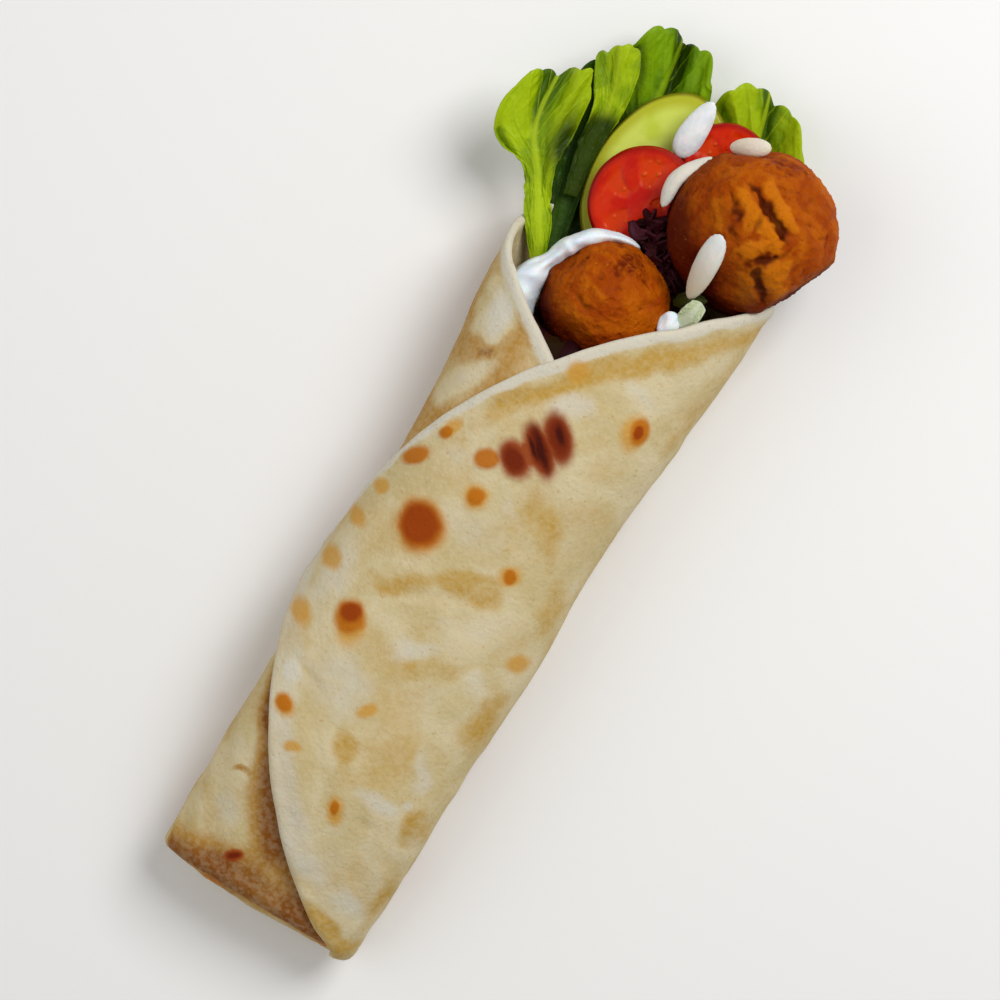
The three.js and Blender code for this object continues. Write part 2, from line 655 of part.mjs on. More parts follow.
const room = [flatbread(CLEAR)];
addPiece("flatbread", flatbread(), COLOURS.bread, 0.8);

const PIECES = [
  ["falafel_left", (grow) => falafel(FALAFEL_LEFT, false, grow), COLOURS.falafel, 0.75],
  ["falafel_right", (grow) => falafel(FALAFEL_RIGHT, true, grow), COLOURS.falafel, 0.75],
  ["tomato_front", (grow) => slice(TOMATO_FRONT, grow), COLOURS.tomato, 0.3],
  ["tomato_back", (grow) => slice(TOMATO_BACK, grow), COLOURS.tomato, 0.3],
  ["cucumber_slice", (grow) => slice(CUCUMBER, grow), COLOURS.cucumber, 0.35],
  ["onion_petal", (grow) => leaf(ONION_PETAL, grow), COLOURS.onion, 0.3],
  ["onion_top", (grow) => leaf(ONION_TOP, grow), COLOURS.onion, 0.3],
  ["onion_side", (grow) => leaf(ONION_SIDE, grow), COLOURS.onion, 0.3],
  ["onion_sliver", (grow) => leaf(ONION_SLIVER, grow), COLOURS.onion, 0.3],
  ["pale_green", (grow) => leaf(PALE_GREEN, grow), COLOURS.cucumber, 0.4],
  ["filling", (grow) => filling(grow), COLOURS.filling, 0.6],
  ["lettuce_left", (grow) => leaf(LETTUCE_LEFT, grow), COLOURS.lettuce, 0.5],
  ["lettuce_curl", (grow) => leaf(LETTUCE_CURL, grow), COLOURS.lettuce, 0.5],
  ["lettuce_right", (grow) => leaf(LETTUCE_RIGHT, grow), COLOURS.lettuce, 0.5],
  ["lettuce_back", (grow) => leaf(LETTUCE_BACK, grow), COLOURS.lettuce, 0.5],
  ["red_cabbage", () => redCabbage(), COLOURS.cabbage, 0.5],
  ["sauce", () => sauce(), COLOURS.sauce, 0.35],
];

for (const [name, make, colour, roughness] of PIECES) {
  addPiece(name, clearOf(make(0), room), colour, roughness);
  room.push(make(name.startsWith("lettuce") ? LEAF_CLEAR : CLEAR));
}

export default wrap;
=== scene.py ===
import itertools
import math

import bmesh
import bpy
import numpy as np
from mathutils import Matrix


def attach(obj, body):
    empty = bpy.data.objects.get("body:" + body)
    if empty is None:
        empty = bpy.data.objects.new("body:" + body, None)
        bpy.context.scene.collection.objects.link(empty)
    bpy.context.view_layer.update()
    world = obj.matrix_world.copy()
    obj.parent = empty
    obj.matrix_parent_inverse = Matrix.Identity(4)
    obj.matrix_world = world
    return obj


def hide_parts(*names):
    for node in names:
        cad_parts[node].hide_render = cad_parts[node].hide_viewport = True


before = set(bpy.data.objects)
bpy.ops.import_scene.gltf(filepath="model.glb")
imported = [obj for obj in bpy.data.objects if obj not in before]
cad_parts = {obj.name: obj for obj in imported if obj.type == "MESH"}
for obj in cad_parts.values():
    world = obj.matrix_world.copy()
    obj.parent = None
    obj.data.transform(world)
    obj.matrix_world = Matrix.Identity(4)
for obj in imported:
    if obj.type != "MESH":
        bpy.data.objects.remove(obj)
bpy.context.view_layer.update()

# The scene is worked out in millimetres and made in metres
MM = 0.001

# The photograph's frame: the roll's axis in it, one pixel in millimetres, and the point at its middle
PICTURE = 1000
AXIS_ANGLE = math.radians(58.6)
PIXEL = 0.28
TARGET = np.array([0.9, 24.8, 23.0])
LENS = 150
SENSOR = 36

# Driving dimensions of the roll
FOOT_Y = -110.0
BACK_RIM_Y = 108.0
FOOT_HALF_WIDTH = 33.8
FOOT_TAPER = 1.4
MOUTH_FLARE = 5.2
FOOT_THICKNESS = 27.0
MIDDLE_THICKNESS = 41.0
MOUTH_THICKNESS = 50.0
SQUARENESS = 2.3
FLAT_SINK = 1.5
BREAD_THICKNESS = 2.3
LAYER_GAP = 0.1
FOOT_ROUND = 5.0
FLAP = {
    "arc": 42.0, "y": -10.0, "reach": 92.0, "up": 120.0, "down": 100.0,
    "up_curve": (1.3, 1.2), "down_curve": (1.9, 1.1),
}
RIM_UNDER_FLAP = 4.0
NOTCH = {"arc": 4.0, "y": 57.0, "slope": 0.73, "width": 20.0}

# Falafels: middle, radius, and flat cheeks, each with its direction and its distance as a share of the radius
FALAFEL_LEFT = {
    "at": (-2.7, 86.5, 29.5), "radius": 18.2, "seed": 11,
    "cheeks": [
        (-0.8, 0.3, 0.5, 0.95), (0.4, 0.75, 0.5, 0.94), (-0.1, -0.8, 0.58, 0.92), (0.5, -0.1, 0.86, 0.95),
    ],
}
FALAFEL_RIGHT = {
    "at": (22.3, 124.8, 29.5), "radius": 23.8, "seed": 29,
    "cheeks": [
        (0.92, -0.39, 0.05, 0.82), (-0.5, 0.84, 0.2, 0.92), (0.55, 0.5, 0.67, 0.96), (-0.5, -0.2, 0.84, 0.96),
    ],
}


# Numbers and noise


def smooth(low, high, value):
    t = np.clip((value - low) / (high - low), 0, 1)
    return t * t * (3 - 2 * t)


def mix(a, b, t):
    return a + (b - a) * t


def bump(value, middle, width):
    return np.exp(-(((value - middle) / width) ** 2))


def cell_random(cell, seed):
    """Repeatable numbers from 0 to 1, one for each whole-number cell."""
    x, y, z = (cell[..., k].astype(np.int64) for k in range(3))
    mixed = ((x * 73856093) ^ (y * 19349663) ^ (z * 83492791) ^ (seed * 26544357)) & 0xFFFFFFFF
    mixed = ((mixed ^ (mixed >> 13)) * 1274126177) & 0xFFFFFFFF
    mixed = ((mixed ^ (mixed >> 16)) * 224682251) & 0xFFFFFFFF
    return ((mixed ^ (mixed >> 15)) & 0xFFFFFF) / 0xFFFFFF


def noise(points, size, seed):
    """Smooth noise from -1 to 1 whose lumps are about size across."""
    scaled = np.asarray(points, float) / size + seed * 7.31
    base = np.floor(scaled)
    part = scaled - base
    part = part**3 * (part * (part * 6 - 15) + 10)
    total = 0
    for corner in itertools.product((0, 1), repeat=3):
        weight = np.prod(np.where(np.array(corner) == 1, part, 1 - part), axis=-1)
        total = total + weight * cell_random(base + np.array(corner), seed)
    return total * 2 - 1


def shifts(points, size, seed):
    """A smooth random shift for each point, from -1 to 1 along each axis."""
    return np.stack([noise(points, size, seed + k) for k in range(3)], -1)


def rough_noise(points, size, octaves, seed):
    return sum(noise(points, size / 2**k, seed + k) / 2**k for k in range(octaves))


def grains(points, size, seed):
    """Distance to the nearest of scattered grains, the gap to the next one, and a random number per grain."""
    scaled = np.asarray(points, float) / size
    base = np.floor(scaled)
    nearest = np.full(scaled.shape[:-1], 9.0)
    second = nearest.copy()
    tint = np.zeros_like(nearest)
    for offset in itertools.product((-1, 0, 1), repeat=3):
        cell = base + np.array(offset)
        middle = cell + np.stack([cell_random(cell, seed + k) for k in range(3)], axis=-1)
        distance = np.linalg.norm(middle - scaled, axis=-1)
        closer = distance < nearest
        second = np.where(closer, nearest, np.minimum(second, distance))
        nearest = np.where(closer, distance, nearest)
        tint = np.where(closer, cell_random(cell, seed + 5), tint)
    return nearest, second - nearest, tint


# The camera, and where a pixel of the photograph lies in the scene

camera_right = np.array([math.sin(AXIS_ANGLE), math.cos(AXIS_ANGLE), 0.0])
camera_up = np.array([-math.cos(AXIS_ANGLE), math.sin(AXIS_ANGLE), 0.0])
camera_back = np.array([0.0, 0.0, 1.0])
CAMERA_DISTANCE = PICTURE * PIXEL * LENS / SENSOR
camera_at = TARGET + camera_back * CAMERA_DISTANCE


def from_photo(pixel_x, pixel_y, height):
    """The point at a height above the floor that the photograph shows at a pixel."""
    spread = SENSOR / LENS / PICTURE
    ray = (
        camera_right * (pixel_x - PICTURE / 2) * spread
        + camera_up * (PICTURE / 2 - pixel_y) * spread
        - camera_back
    )
    return camera_at + ray * (height - camera_at[2]) / ray[2]


def add_camera():
    data = bpy.data.cameras.new("camera")
    data.lens = LENS
    data.sensor_width = SENSOR
    data.clip_end = 20
    camera = bpy.data.objects.new("camera", data)
    bpy.context.collection.objects.link(camera)
    turn = Matrix((camera_right, camera_up, camera_back)).transposed().to_4x4()
    camera.matrix_world = Matrix.Translation(camera_at * MM) @ turn
    bpy.context.scene.camera = camera


# Meshes


def closed_faces(rows, columns, around):
    """Quads of a closed sheet or ring between two grids of points, the outer grid first."""
    half = rows * columns
    j = np.arange(columns if around else columns - 1)
    row, column = np.meshgrid(np.arange(rows - 1), j, indexing="ij")
    after = (column + 1) % columns
    a, b = row * columns + column, row * columns + after
    c, d = (row + 1) * columns + after, (row + 1) * columns + column
    faces = [np.stack([a, b, c, d], -1).reshape(-1, 4), np.stack([d, c, b, a], -1).reshape(-1, 4) + half]
    k = (j + 1) % columns
    last = (rows - 1) * columns
    faces.append(np.stack([half + j, half + k, k, j], -1))
    faces.append(np.stack([last + j, last + k, half + last + k, half + last + j], -1))
    if not around:
        i = np.arange(rows - 1) * columns
        end = i + columns - 1
        faces.append(np.stack([i, i + columns, half + i + columns, half + i], -1))
        faces.append(np.stack([half + end, half + end + columns, end + columns, end], -1))
    return np.concatenate(faces)


def tube_faces(rows, columns):
    """Faces round a grid of rings, whose two ends close on the two points that follow the grid."""
    faces = []
    for i in range(rows - 1):
        for j in range(columns):
            k = (j + 1) % columns
            faces.append((i * columns + j, i * columns + k, (i + 1) * columns + k, (i + 1) * columns + j))
    first_end = rows * columns
    last_row = first_end - columns
    for j in range(columns):
        k = (j + 1) % columns
        faces.append((first_end, k, j))
        faces.append((first_end + 1, last_row + j, last_row + k))
    return faces


def make_mesh(name, points, faces, material, attributes=None):
    points = np.asarray(points, float).reshape(-1, 3)
    corners = points[np.asarray([face[:3] for face in faces])]
    volume = np.einsum("ij,ij->i", corners[:, 0], np.cross(corners[:, 1], corners[:, 2])).sum()
    if volume < 0:
        faces = [face[::-1] for face in faces]
    mesh = bpy.data.meshes.new(name)
    mesh.from_pydata((points * MM).tolist(), [], [list(map(int, face)) for face in faces])
    mesh.polygons.foreach_set("use_smooth", [True] * len(mesh.polygons))
    for key, values in (attributes or {}).items():
        attribute = mesh.attributes.new(key, "FLOAT", "POINT")
        attribute.data.foreach_set("value", np.asarray(values, np.float32).ravel())
    mesh.materials.append(material)
    mesh.update()
    piece = bpy.data.objects.new(name, mesh)
    bpy.context.collection.objects.link(piece)
    return piece


def place(piece, slot, *nodes):
    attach(piece, "root")
    if nodes:
        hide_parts(*nodes)


def sheet_mesh(name, outer, inner, around, material, attributes):
    """A closed mesh between two grids. An attribute that is one grid holds for both."""
    rows, columns = outer.shape[:2]
    fields = {key: np.stack([grid, grid]) if grid.ndim == 2 else grid for key, grid in attributes.items()}
    points = np.concatenate([outer.reshape(-1, 3), inner.reshape(-1, 3)])
    return make_mesh(name, points, closed_faces(rows, columns, around), material, fields)


def grid_normals(grid):
    along_rows = np.gradient(grid, axis=0)
    along_columns = np.gradient(grid, axis=1)
    normal = np.cross(along_columns, along_rows)
    return normal / np.maximum(np.linalg.norm(normal, axis=-1, keepdims=True), 1e-9)


# Materials


def colour(red, green, blue):
    """A colour from its sRGB values, as Blender's linear values."""
    linear = [((v / 255 + 0.055) / 1.055) ** 2.4 if v > 10 else v / 255 / 12.92 for v in (red, green, blue)]
    return (*linear, 1.0)


class Shader:
    """Builds one material's nodes."""

    def __init__(self, name, roughness=0.6, specular=0.5, **sockets):
        self.material = bpy.data.materials.new(name)
        self.material.use_nodes = True
        self.tree = self.material.node_tree
        self.surface = self.tree.nodes["Principled BSDF"]
        sockets = {"Roughness": roughness, "Specular_IOR_Level": specular, **sockets}
        for key, value in sockets.items():
            self.surface.inputs[key.replace("_", " ")].default_value = value
        self.place = self.node("ShaderNodeTexCoord").outputs["Object"]

    def node(self, kind, **settings):
        made = self.tree.nodes.new(kind)
        for key, value in settings.items():
            setattr(made, key, value)
        return made

    def feed(self, socket, value):
        if isinstance(value, bpy.types.NodeSocket):
            self.tree.links.new(value, socket)
        else:
            socket.default_value = value

    def value(self, name):
        return self.node("ShaderNodeAttribute", attribute_name=name).outputs["Fac"]

    def noise(self, millimetres, detail=2.0, distortion=0.0, stretch=None, output="Fac"):
        made = self.node("ShaderNodeTexNoise")
        place = self.place
        if stretch:
            mapping = self.node("ShaderNodeMapping")
            self.feed(mapping.inputs["Vector"], place)
            mapping.inputs["Scale"].default_value = stretch
            place = mapping.outputs["Vector"]
        self.feed(made.inputs["Vector"], place)
        made.inputs["Scale"].default_value = 1 / (millimetres * MM)
        made.inputs["Detail"].default_value = detail
        made.inputs["Distortion"].default_value = distortion
        return made.outputs[output]

    def math(self, operation, a, b=0.0):
        made = self.node("ShaderNodeMath", operation=operation)
        self.feed(made.inputs[0], a)
        self.feed(made.inputs[1], b)
        return made.outputs[0]

    def step(self, value, low, high, to_low=0.0, to_high=1.0):
        made = self.node("ShaderNodeMapRange", interpolation_type="SMOOTHSTEP")
        self.feed(made.inputs["Value"], value)
        for key, number in (("From Min", low), ("From Max", high), ("To Min", to_low), ("To Max", to_high)):
            made.inputs[key].default_value = number
        return made.outputs["Result"]

    def blend(self, first, second, factor):
        made = self.node("ShaderNodeMix", data_type="RGBA")
        self.feed(made.inputs[0], factor)
        self.feed(made.inputs[6], first)
        self.feed(made.inputs[7], second)
        return made.outputs[2]

    def tone(self, base, shade, value, low, high, strength=1.0):
        """The base, turned toward a shade in sRGB values as the value goes from low to high."""
        return self.blend(base, colour(*shade), self.step(value, low, high, 0, strength))

    def paint(self, value):
        self.feed(self.surface.inputs["Base Color"], value)

    def roughness(self, value):
        self.feed(self.surface.inputs["Roughness"], value)

    def bump(self, height, millimetres, strength=1.0, before=None):
        made = self.node("ShaderNodeBump")
        made.inputs["Strength"].default_value = strength
        made.inputs["Distance"].default_value = millimetres * MM
        self.feed(made.inputs["Height"], height)
        if before:
            self.feed(made.inputs["Normal"], before)
        self.feed(self.surface.inputs["Normal"], made.outputs["Normal"])
        return made.outputs["Normal"]


# The roll's cross-section: a soft superellipse whose underside is pressed flat on the floor


def half_width(y):
    waist = 0.9 * bump(y, -14, 18) - 0.5 * bump(y, 22, 20) - 0.6 * bump(y, -60, 26)
    return FOOT_HALF_WIDTH + waist + MOUTH_FLARE * smooth(20, 112, y) - FOOT_TAPER * smooth(-70, FOOT_Y, y)


def thickness(y):
    lower = mix(FOOT_THICKNESS, MIDDLE_THICKNESS, smooth(FOOT_Y - 12, FOOT_Y + 52, y))
    return lower + (MOUTH_THICKNESS - MIDDLE_THICKNESS) * smooth(-70, 95, y)


def middle_height(y):
    return thickness(y) / 2 - FLAT_SINK


def outline_at(turn, y):
    power = 2 / SQUARENESS
    side, rise = np.sin(turn), np.cos(turn)
    x = half_width(y) * np.sign(side) * np.abs(side) ** power
    z = thickness(y) / 2 * np.sign(rise) * np.abs(rise) ** power
    return x, z


TURNS = np.linspace(0, math.pi, 721)
girth_x, girth_z = outline_at(TURNS, 0.0)
ARCS = np.concatenate([[0], np.cumsum(np.hypot(np.diff(girth_x), np.diff(girth_z)))])
HALF_GIRTH = ARCS[-1]


def turn_at(arc):
    return np.sign(arc) * np.interp(np.abs(arc), ARCS, TURNS)


def on_roll(arc, y, depth, relief=0.0):
    """A point of the bread, from a distance round the outline, counted from the front's middle, a distance
    along the roll and a depth under the outer face. At the foot the face turns in and the depth runs along."""
    rise = np.clip(y - FOOT_Y, 0, FOOT_ROUND)
    corner = np.arccos(1 - rise / FOOT_ROUND)
    x, z = outline_at(turn_at(arc), y)
    half_x, half_z = half_width(y), thickness(y) / 2
    slope_x = np.abs(x / half_x) ** (SQUARENESS - 1) * np.sign(x) / half_x
    slope_z = np.abs(z / half_z) ** (SQUARENESS - 1) * np.sign(z) / half_z
    length = np.hypot(slope_x, slope_z)
    under = depth * np.sin(corner)
    turned_in = FOOT_ROUND * (1 - np.sin(corner))
    inset = turned_in + under - relief
    floor = np.maximum(under + turned_in, 0)
    return np.stack(
        [
            x - inset * slope_x / length,
            y + depth * np.cos(corner) + 0 * x,
            np.maximum(middle_height(y) + z - inset * slope_z / length, floor),
        ],
        axis=-1,
    )


def edge_waves(arc, seed):
    """How far a torn-looking bread edge strays from its line, in millimetres."""
    line = np.stack([arc, 0 * arc, 0 * arc], -1)
    return 0.9 * noise(line, 15, seed) + 0.45 * noise(line, 5.5, seed + 1)


def flap_edge(arc, top):
    share = np.clip(np.abs(np.minimum(arc - FLAP["arc"], 0)) / FLAP["reach"], 0, 1)
    across, lengthwise = FLAP["up_curve"] if top else FLAP["down_curve"]
    height = (1 - share**across) ** (1 / lengthwise)
    return FLAP["y"] + FLAP["up"] * height if top else FLAP["y"] - FLAP["down"] * height


def inner_rim(arc):
    left = NOTCH["y"] + NOTCH["slope"] * (NOTCH["arc"] - arc)
    under_flap = flap_edge(np.minimum(arc, FLAP["arc"]), True) - RIM_UNDER_FLAP
    right = mix(NOTCH["y"], under_flap, smooth(NOTCH["arc"], NOTCH["arc"] + NOTCH["width"], arc))
    side = mix(right, BACK_RIM_Y, smooth(60, 80, arc))
    return np.minimum(np.where(arc < NOTCH["arc"], left, side), BACK_RIM_Y)


def second_layer(arc):
    """1 where the bread is two layers thick, 0 where it is one."""
    return np.where(arc > 0, 1 - smooth(54, 74, arc), 1 - smooth(58, 77, -arc))


def bread_over(points):
    """For each point: where the bread that lies outside it ends, and how deep that bread's inner face is."""
    y = points[..., 1]
    side = np.abs(points[..., 0] / half_width(y)) ** (SQUARENESS / 2)
    above = points[..., 2] - middle_height(y)
    rise = np.sign(above) * np.abs(above / (thickness(y) / 2)) ** (SQUARENESS / 2)
    arc = np.sign(points[..., 0]) * np.interp(np.arctan2(side, rise), TURNS, ARCS)
    flap = np.where(arc > FLAP["arc"] - FLAP["reach"], flap_edge(arc, True), -1e3)
    both = (y < flap) & (arc < 74)
    return np.maximum(inner_rim(arc), np.where(arc < 74, flap, -1e3)), np.where(both, 2, 1) * BREAD_THICKNESS


def inside_roll(points, room):
    """Points drawn in until they are clear of the bread by some room."""
    points = points.copy()
    y = points[..., 1]
    end, layers = bread_over(points)
    depth = layers + LAYER_GAP + room
    middle = middle_height(y)
    across_share = np.abs(points[..., 0] / (half_width(y) - depth)) ** SQUARENESS
    up_share = np.abs((points[..., 2] - middle) / (thickness(y) / 2 - depth)) ** SQUARENESS
    pull = np.minimum(1, np.maximum(across_share + up_share, 1e-6) ** (-1 / SQUARENESS))
    held = smooth(end + 1.2, end - 1.5, y)
    pull = mix(1, pull, held)
    points[..., 0] *= pull
    points[..., 2] = middle + (points[..., 2] - middle) * pull
    floor = mix(0.5, depth, smooth(BACK_RIM_Y + 1.2, BACK_RIM_Y - 1.5, y))
    points[..., 2] = np.maximum(points[..., 2], floor)
    return points


# Brown spots that the photograph shows, lightest kind first: pixel, half length and half width in pixels, and
# turn in degrees
SPOTS = {
    "faint": [
        (577, 372, 14, 13, 0),
        (350, 624, 26, 19, 90),
        (292, 747, 11, 7, 10),
        (335, 811, 18, 10, 95),
        (367, 711, 13, 8, -20),
        (356, 514, 17, 10, 60),
        (381, 486, 11, 9, 50),
        (301, 611, 20, 12, 70),
        (331, 556, 18, 12, 60),
        (452, 428, 16, 8, -40),
        (518, 664, 15, 11, 0),
        (510, 577, 13, 12, 0),
        (476, 497, 15, 15, 0),
        (634, 434, 22, 16, 110),
        (420, 525, 33, 29, 70),
        (285, 706, 16, 12, 60),
    ],
    "toasted": [
        (476, 497, 10, 10, 0),
        (510, 577, 9, 7, 90),
        (487, 459, 15, 13, 0),
        (284, 704, 12, 9, 60),
        (415, 455, 17, 10, -20),
        (446, 432, 9, 7, -30),
        (640, 432, 16, 10, 105),
        (350, 616, 20, 18, 90),
        (420, 525, 30, 26, 70),
        (335, 808, 9, 5, 95),
    ],
    "brown": [
        (419, 524, 25, 22, 70),
        (351, 612, 13, 12, 0),
        (639, 433, 8, 5, 105),
        (558, 439, 32, 18, 78),
        (540, 451, 34, 17, 72),
        (515, 459, 25, 18, 66),
        (536, 452, 28, 18, -20),
        (233, 856, 13, 8, -12),
    ],
    "deep": [
        (559, 438, 27, 13, 78),
        (540, 449, 30, 11, 72),
        (514, 460, 18, 12, 66),
        (233, 856, 8, 4, -12),
    ],
    "dark": [(541, 450, 28, 5, 74), (534, 448, 16, 3, 66), (560, 436, 14, 5, 78)],
}
SPOT_COLOURS = {
    "faint": (204, 150, 56),
    "toasted": (186, 106, 4),
    "brown": (150, 58, 0),
    "deep": (112, 32, 0),
    "dark": (64, 10, 0),
}
# How softly each kind of spot fades at its edge
SPOT_SOFTNESS = {"faint": 0.55, "toasted": 0.42, "brown": 0.42, "deep": 0.5, "dark": 0.7}

# Soft golden, pale and brown patches, given like the spots and each with a strength at the end. Some of the
# pale patches are painted highlights.
GOLDEN = [
    (410, 580, 44, 9, 2, 0.7),
    (460, 584, 36, 8, 6, 0.8),
    (490, 596, 14, 8, 40, 0.6),
    (346, 748, 13, 20, 0, 0.9),
    (385, 760, 34, 24, 0, 0.5),
    (425, 668, 38, 13, 0, 0.5),
    (520, 397, 26, 14, -25, 0.75),
    (650, 360, 80, 13, -10, 0.9),
    (686, 424, 40, 10, -58, 0.6),
    (545, 525, 42, 13, 80, 0.6),
    (548, 612, 34, 14, -58, 0.6),
    (483, 722, 36, 16, -58, 0.9),
    (412, 828, 22, 12, -58, 0.9),
    (378, 902, 34, 11, -58, 0.8),
    (322, 925, 34, 8, 54, 1.0),
    (345, 948, 16, 12, 0, 1.0),
    (205, 800, 40, 12, 62, 0.4),
    (183, 832, 18, 12, 60, 0.7),
    (240, 700, 44, 7, -58, 0.7),
]
PALE_PATCHES_AND_HIGHLIGHTS = [
    (495, 312, 16, 22, 0, 1.2),
    (466, 376, 40, 12, -33, 0.5),
    (458, 452, 16, 11, 0, 0.5),
    (573, 407, 22, 12, 0, 0.8),
    (642, 394, 24, 8, 50, 0.7),
    (471, 527, 36, 26, 0, 0.5),
    (512, 512, 40, 6, 62, 0.5),
    (576, 527, 16, 34, 0, 0.35),
    (338, 570, 44, 18, -60, 0.7),
    (338, 686, 32, 36, 0, 0.7),
    (291, 672, 18, 13, 60, 1.2),
    (410, 648, 26, 13, 0, 0.8),
    (470, 624, 48, 14, -8, 0.5),
    (474, 684, 15, 12, 0, 0.6),
    (426, 700, 40, 18, -10, 0.4),
    (375, 803, 28, 12, 38, 0.9),
    (420, 773, 10, 24, 15, 0.7),
    (407, 806, 8, 8, 0, 0.8),
    (343, 905, 12, 26, -32, 0.8),
    (224, 806, 22, 15, 55, 0.6),
    (236, 745, 15, 14, 0, 0.5),
]
BROWN = [
    (488, 347, 17, 8, 0, 0.9),
    (527, 340, 9, 34, 12, 0.35),
    (240, 880, 60, 10, 28, 0.8),
    (290, 915, 34, 12, 28, 0.9),
    (244, 771, 17, 4, 16, 0.8),
]


def front_height(x, y):
    """The height of the bread's front face over a place on the floor."""
    share = np.clip(np.abs(x / half_width(y)), 0, 0.999)
    return middle_height(y) + thickness(y) / 2 * (1 - share**SQUARENESS) ** (1 / SQUARENESS)


def photo_on_bread(pixel_x, pixel_y):
    """The point of the bread's front that the photograph shows at a pixel."""
    point = from_photo(pixel_x, pixel_y, MOUTH_THICKNESS - 6)
    for _ in range(6):
        point = from_photo(pixel_x, pixel_y, front_height(point[0], point[1]))
    return point


# How far a spot of the front may reach down round the side, and how far its outline wanders
SPOT_WRAP = 12.0
SPOT_WANDER = 2.2


def patch_field(points, pixel_x, pixel_y, long, wide, degrees):
    """1 at a patch's middle, 0 on its edge and below 0 outside it."""
    away = points - photo_on_bread(pixel_x, pixel_y)
    turn = math.radians(degrees)
    first = math.cos(turn) * camera_right - math.sin(turn) * camera_up
    second = math.sin(turn) * camera_right + math.cos(turn) * camera_up
    flat = (away @ first / long) ** 2 + (away @ second / wide) ** 2
    return 1 - np.sqrt(flat / PIXEL**2 + (away[..., 2] / SPOT_WRAP) ** 2)


def spot_relief(points):
    """How far inside a spot each point is: 1 at a spot's middle, 0 and less outside."""
    field = np.full(points.shape[:-1], -1.0)
    for kind in ("toasted", "brown"):
        for spot in SPOTS[kind]:
            field = np.maximum(field, patch_field(points, *spot))
    return field


def soft_patches(points, patches):
    total = np.zeros(points.shape[:-1])
    for patch in patches:
        np.maximum(total, patch[5] * smooth(-0.7, 0.7, patch_field(points, *patch[:5])), out=total)
    return total


# The bread: one spiral sheet from its hidden inner end, round under the flap and out to the flap's nose

# How far the sheet's first rows lie from the foot, and from a free edge
FOOT_RISES = np.array([0, 0.05, 0.25, 0.7, 1.4, 2.4, 3.6, 5.0])
EDGE_STEPS = np.array([0, 0.25, 0.6, 1.1, 1.8, 2.8, 4.0, 5.4])
BODY_ROWS = 170
# Distance between columns on the flap, beside it, and where the bread is hidden
FRONT_STEP = 0.95
BESIDE_STEP = 1.3
HIDDEN_STEP = 2.1
# Distances round the outline of the sheet's hidden end, and of the turn from the front into the side
INNER_END_ARC = 58.0
SIDE_ARC = 46.0


def bread_columns():
    """For each column: distance round the outline, distance unrolled, depth, both ends, and if it is inner."""
    nose = FLAP["arc"] - FLAP["reach"]
    notch = NOTCH["arc"] + 4
    inner = np.concatenate([
        np.arange(INNER_END_ARC, notch, -HIDDEN_STEP),
        np.arange(notch, -62, -BESIDE_STEP),
        np.arange(-62, -HALF_GIRTH, -HIDDEN_STEP),
    ])
    outer = np.concatenate([
        np.arange(HALF_GIRTH, 64, -HIDDEN_STEP),
        np.arange(64, FLAP["arc"], -BESIDE_STEP),
    ])
    turn = np.linspace(math.pi / 2, 0.05, int(FLAP["reach"] / FRONT_STEP * 1.25))
    free = nose + FLAP["reach"] * (1 - np.cos(turn))
    arc = np.concatenate([inner, outer, free])
    is_inner = np.arange(len(arc)) < len(inner)
    unrolled = INNER_END_ARC - arc + np.where(is_inner, 0, 2 * HALF_GIRTH)
    depth = np.where(is_inner, (BREAD_THICKNESS + LAYER_GAP) * (1 - smooth(58, 77, -arc)), 0)
    foot = mix(flap_edge(arc, False), FOOT_Y, smooth(FLAP["arc"], 75, arc))
    low = np.where(is_inner, FOOT_Y, foot)
    rim = mix(flap_edge(arc, True), BACK_RIM_Y, smooth(58, 75, arc))
    high = np.where(is_inner, inner_rim(arc), rim) + edge_waves(unrolled, 151)
    waves = edge_waves(unrolled, 153) * smooth(75, 50, arc) * smooth(nose + 1, nose + 12, arc)
    low += np.where(is_inner, 0, waves)
    return arc, unrolled, depth, low, high, is_inner


def bread_rows(low, high):
    shrink = min(1.0, (high - low) / 24)
    start = FOOT_RISES if low <= FOOT_Y + 1e-6 else EDGE_STEPS * shrink
    end = EDGE_STEPS * shrink
    body = np.linspace(low + start[-1], high - end[-1], BODY_ROWS)
    return np.concatenate([low + start[:-1], body, high - end[-2::-1]])


def distance_to(line_t, line_y, t, y):
    """Distance in the unrolled sheet from each point to the nearest point of a line of samples."""
    best = np.full(t.shape, 1e9)
    for at_t, at_y in zip(line_t, line_y):
        best = np.minimum(best, (t - at_t) ** 2 + (y - at_y) ** 2)
    return np.sqrt(best)


def dense(values, times=5):
    steps = np.linspace(0, len(values) - 1, (len(values) - 1) * times + 1)
    return np.interp(steps, np.arange(len(values)), values)


# Creases: from a pixel to a pixel, depth and half width in millimetres
CREASES = [
    ((385, 592), (500, 604), 0.5, 2.2),
    ((356, 819), (412, 848), 0.7, 1.5),
    ((408, 640), (470, 610), 0.35, 2.6),
    ((455, 560), (545, 500), 0.3, 3.0),
    ((480, 412), (610, 372), 0.5, 2.0),
    ((294, 655), (322, 690), 0.5, 1.3),
    ((310, 700), (322, 800), 0.3, 2.4),
    ((548, 470), (560, 560), 0.35, 2.6),
    ((228, 766), (262, 777), 0.6, 1.3),
    ((430, 690), (520, 640), 0.3, 2.2),
    ((600, 400), (668, 440), 0.3, 2.0),
]


def crease_depth(points):
    total = np.zeros(points.shape[:-1])
    for start, end, depth, width in CREASES:
        a, b = photo_on_bread(*start), photo_on_bread(*end)
        share = np.clip(((points - a) @ (b - a)) / ((b - a) @ (b - a)), 0, 1)
        away = np.linalg.norm(points - (a + share[..., None] * (b - a)), axis=-1)
        total += depth * bump(away, 0, width) * np.sin(math.pi * mix(0.12, 0.88, share))
    return total


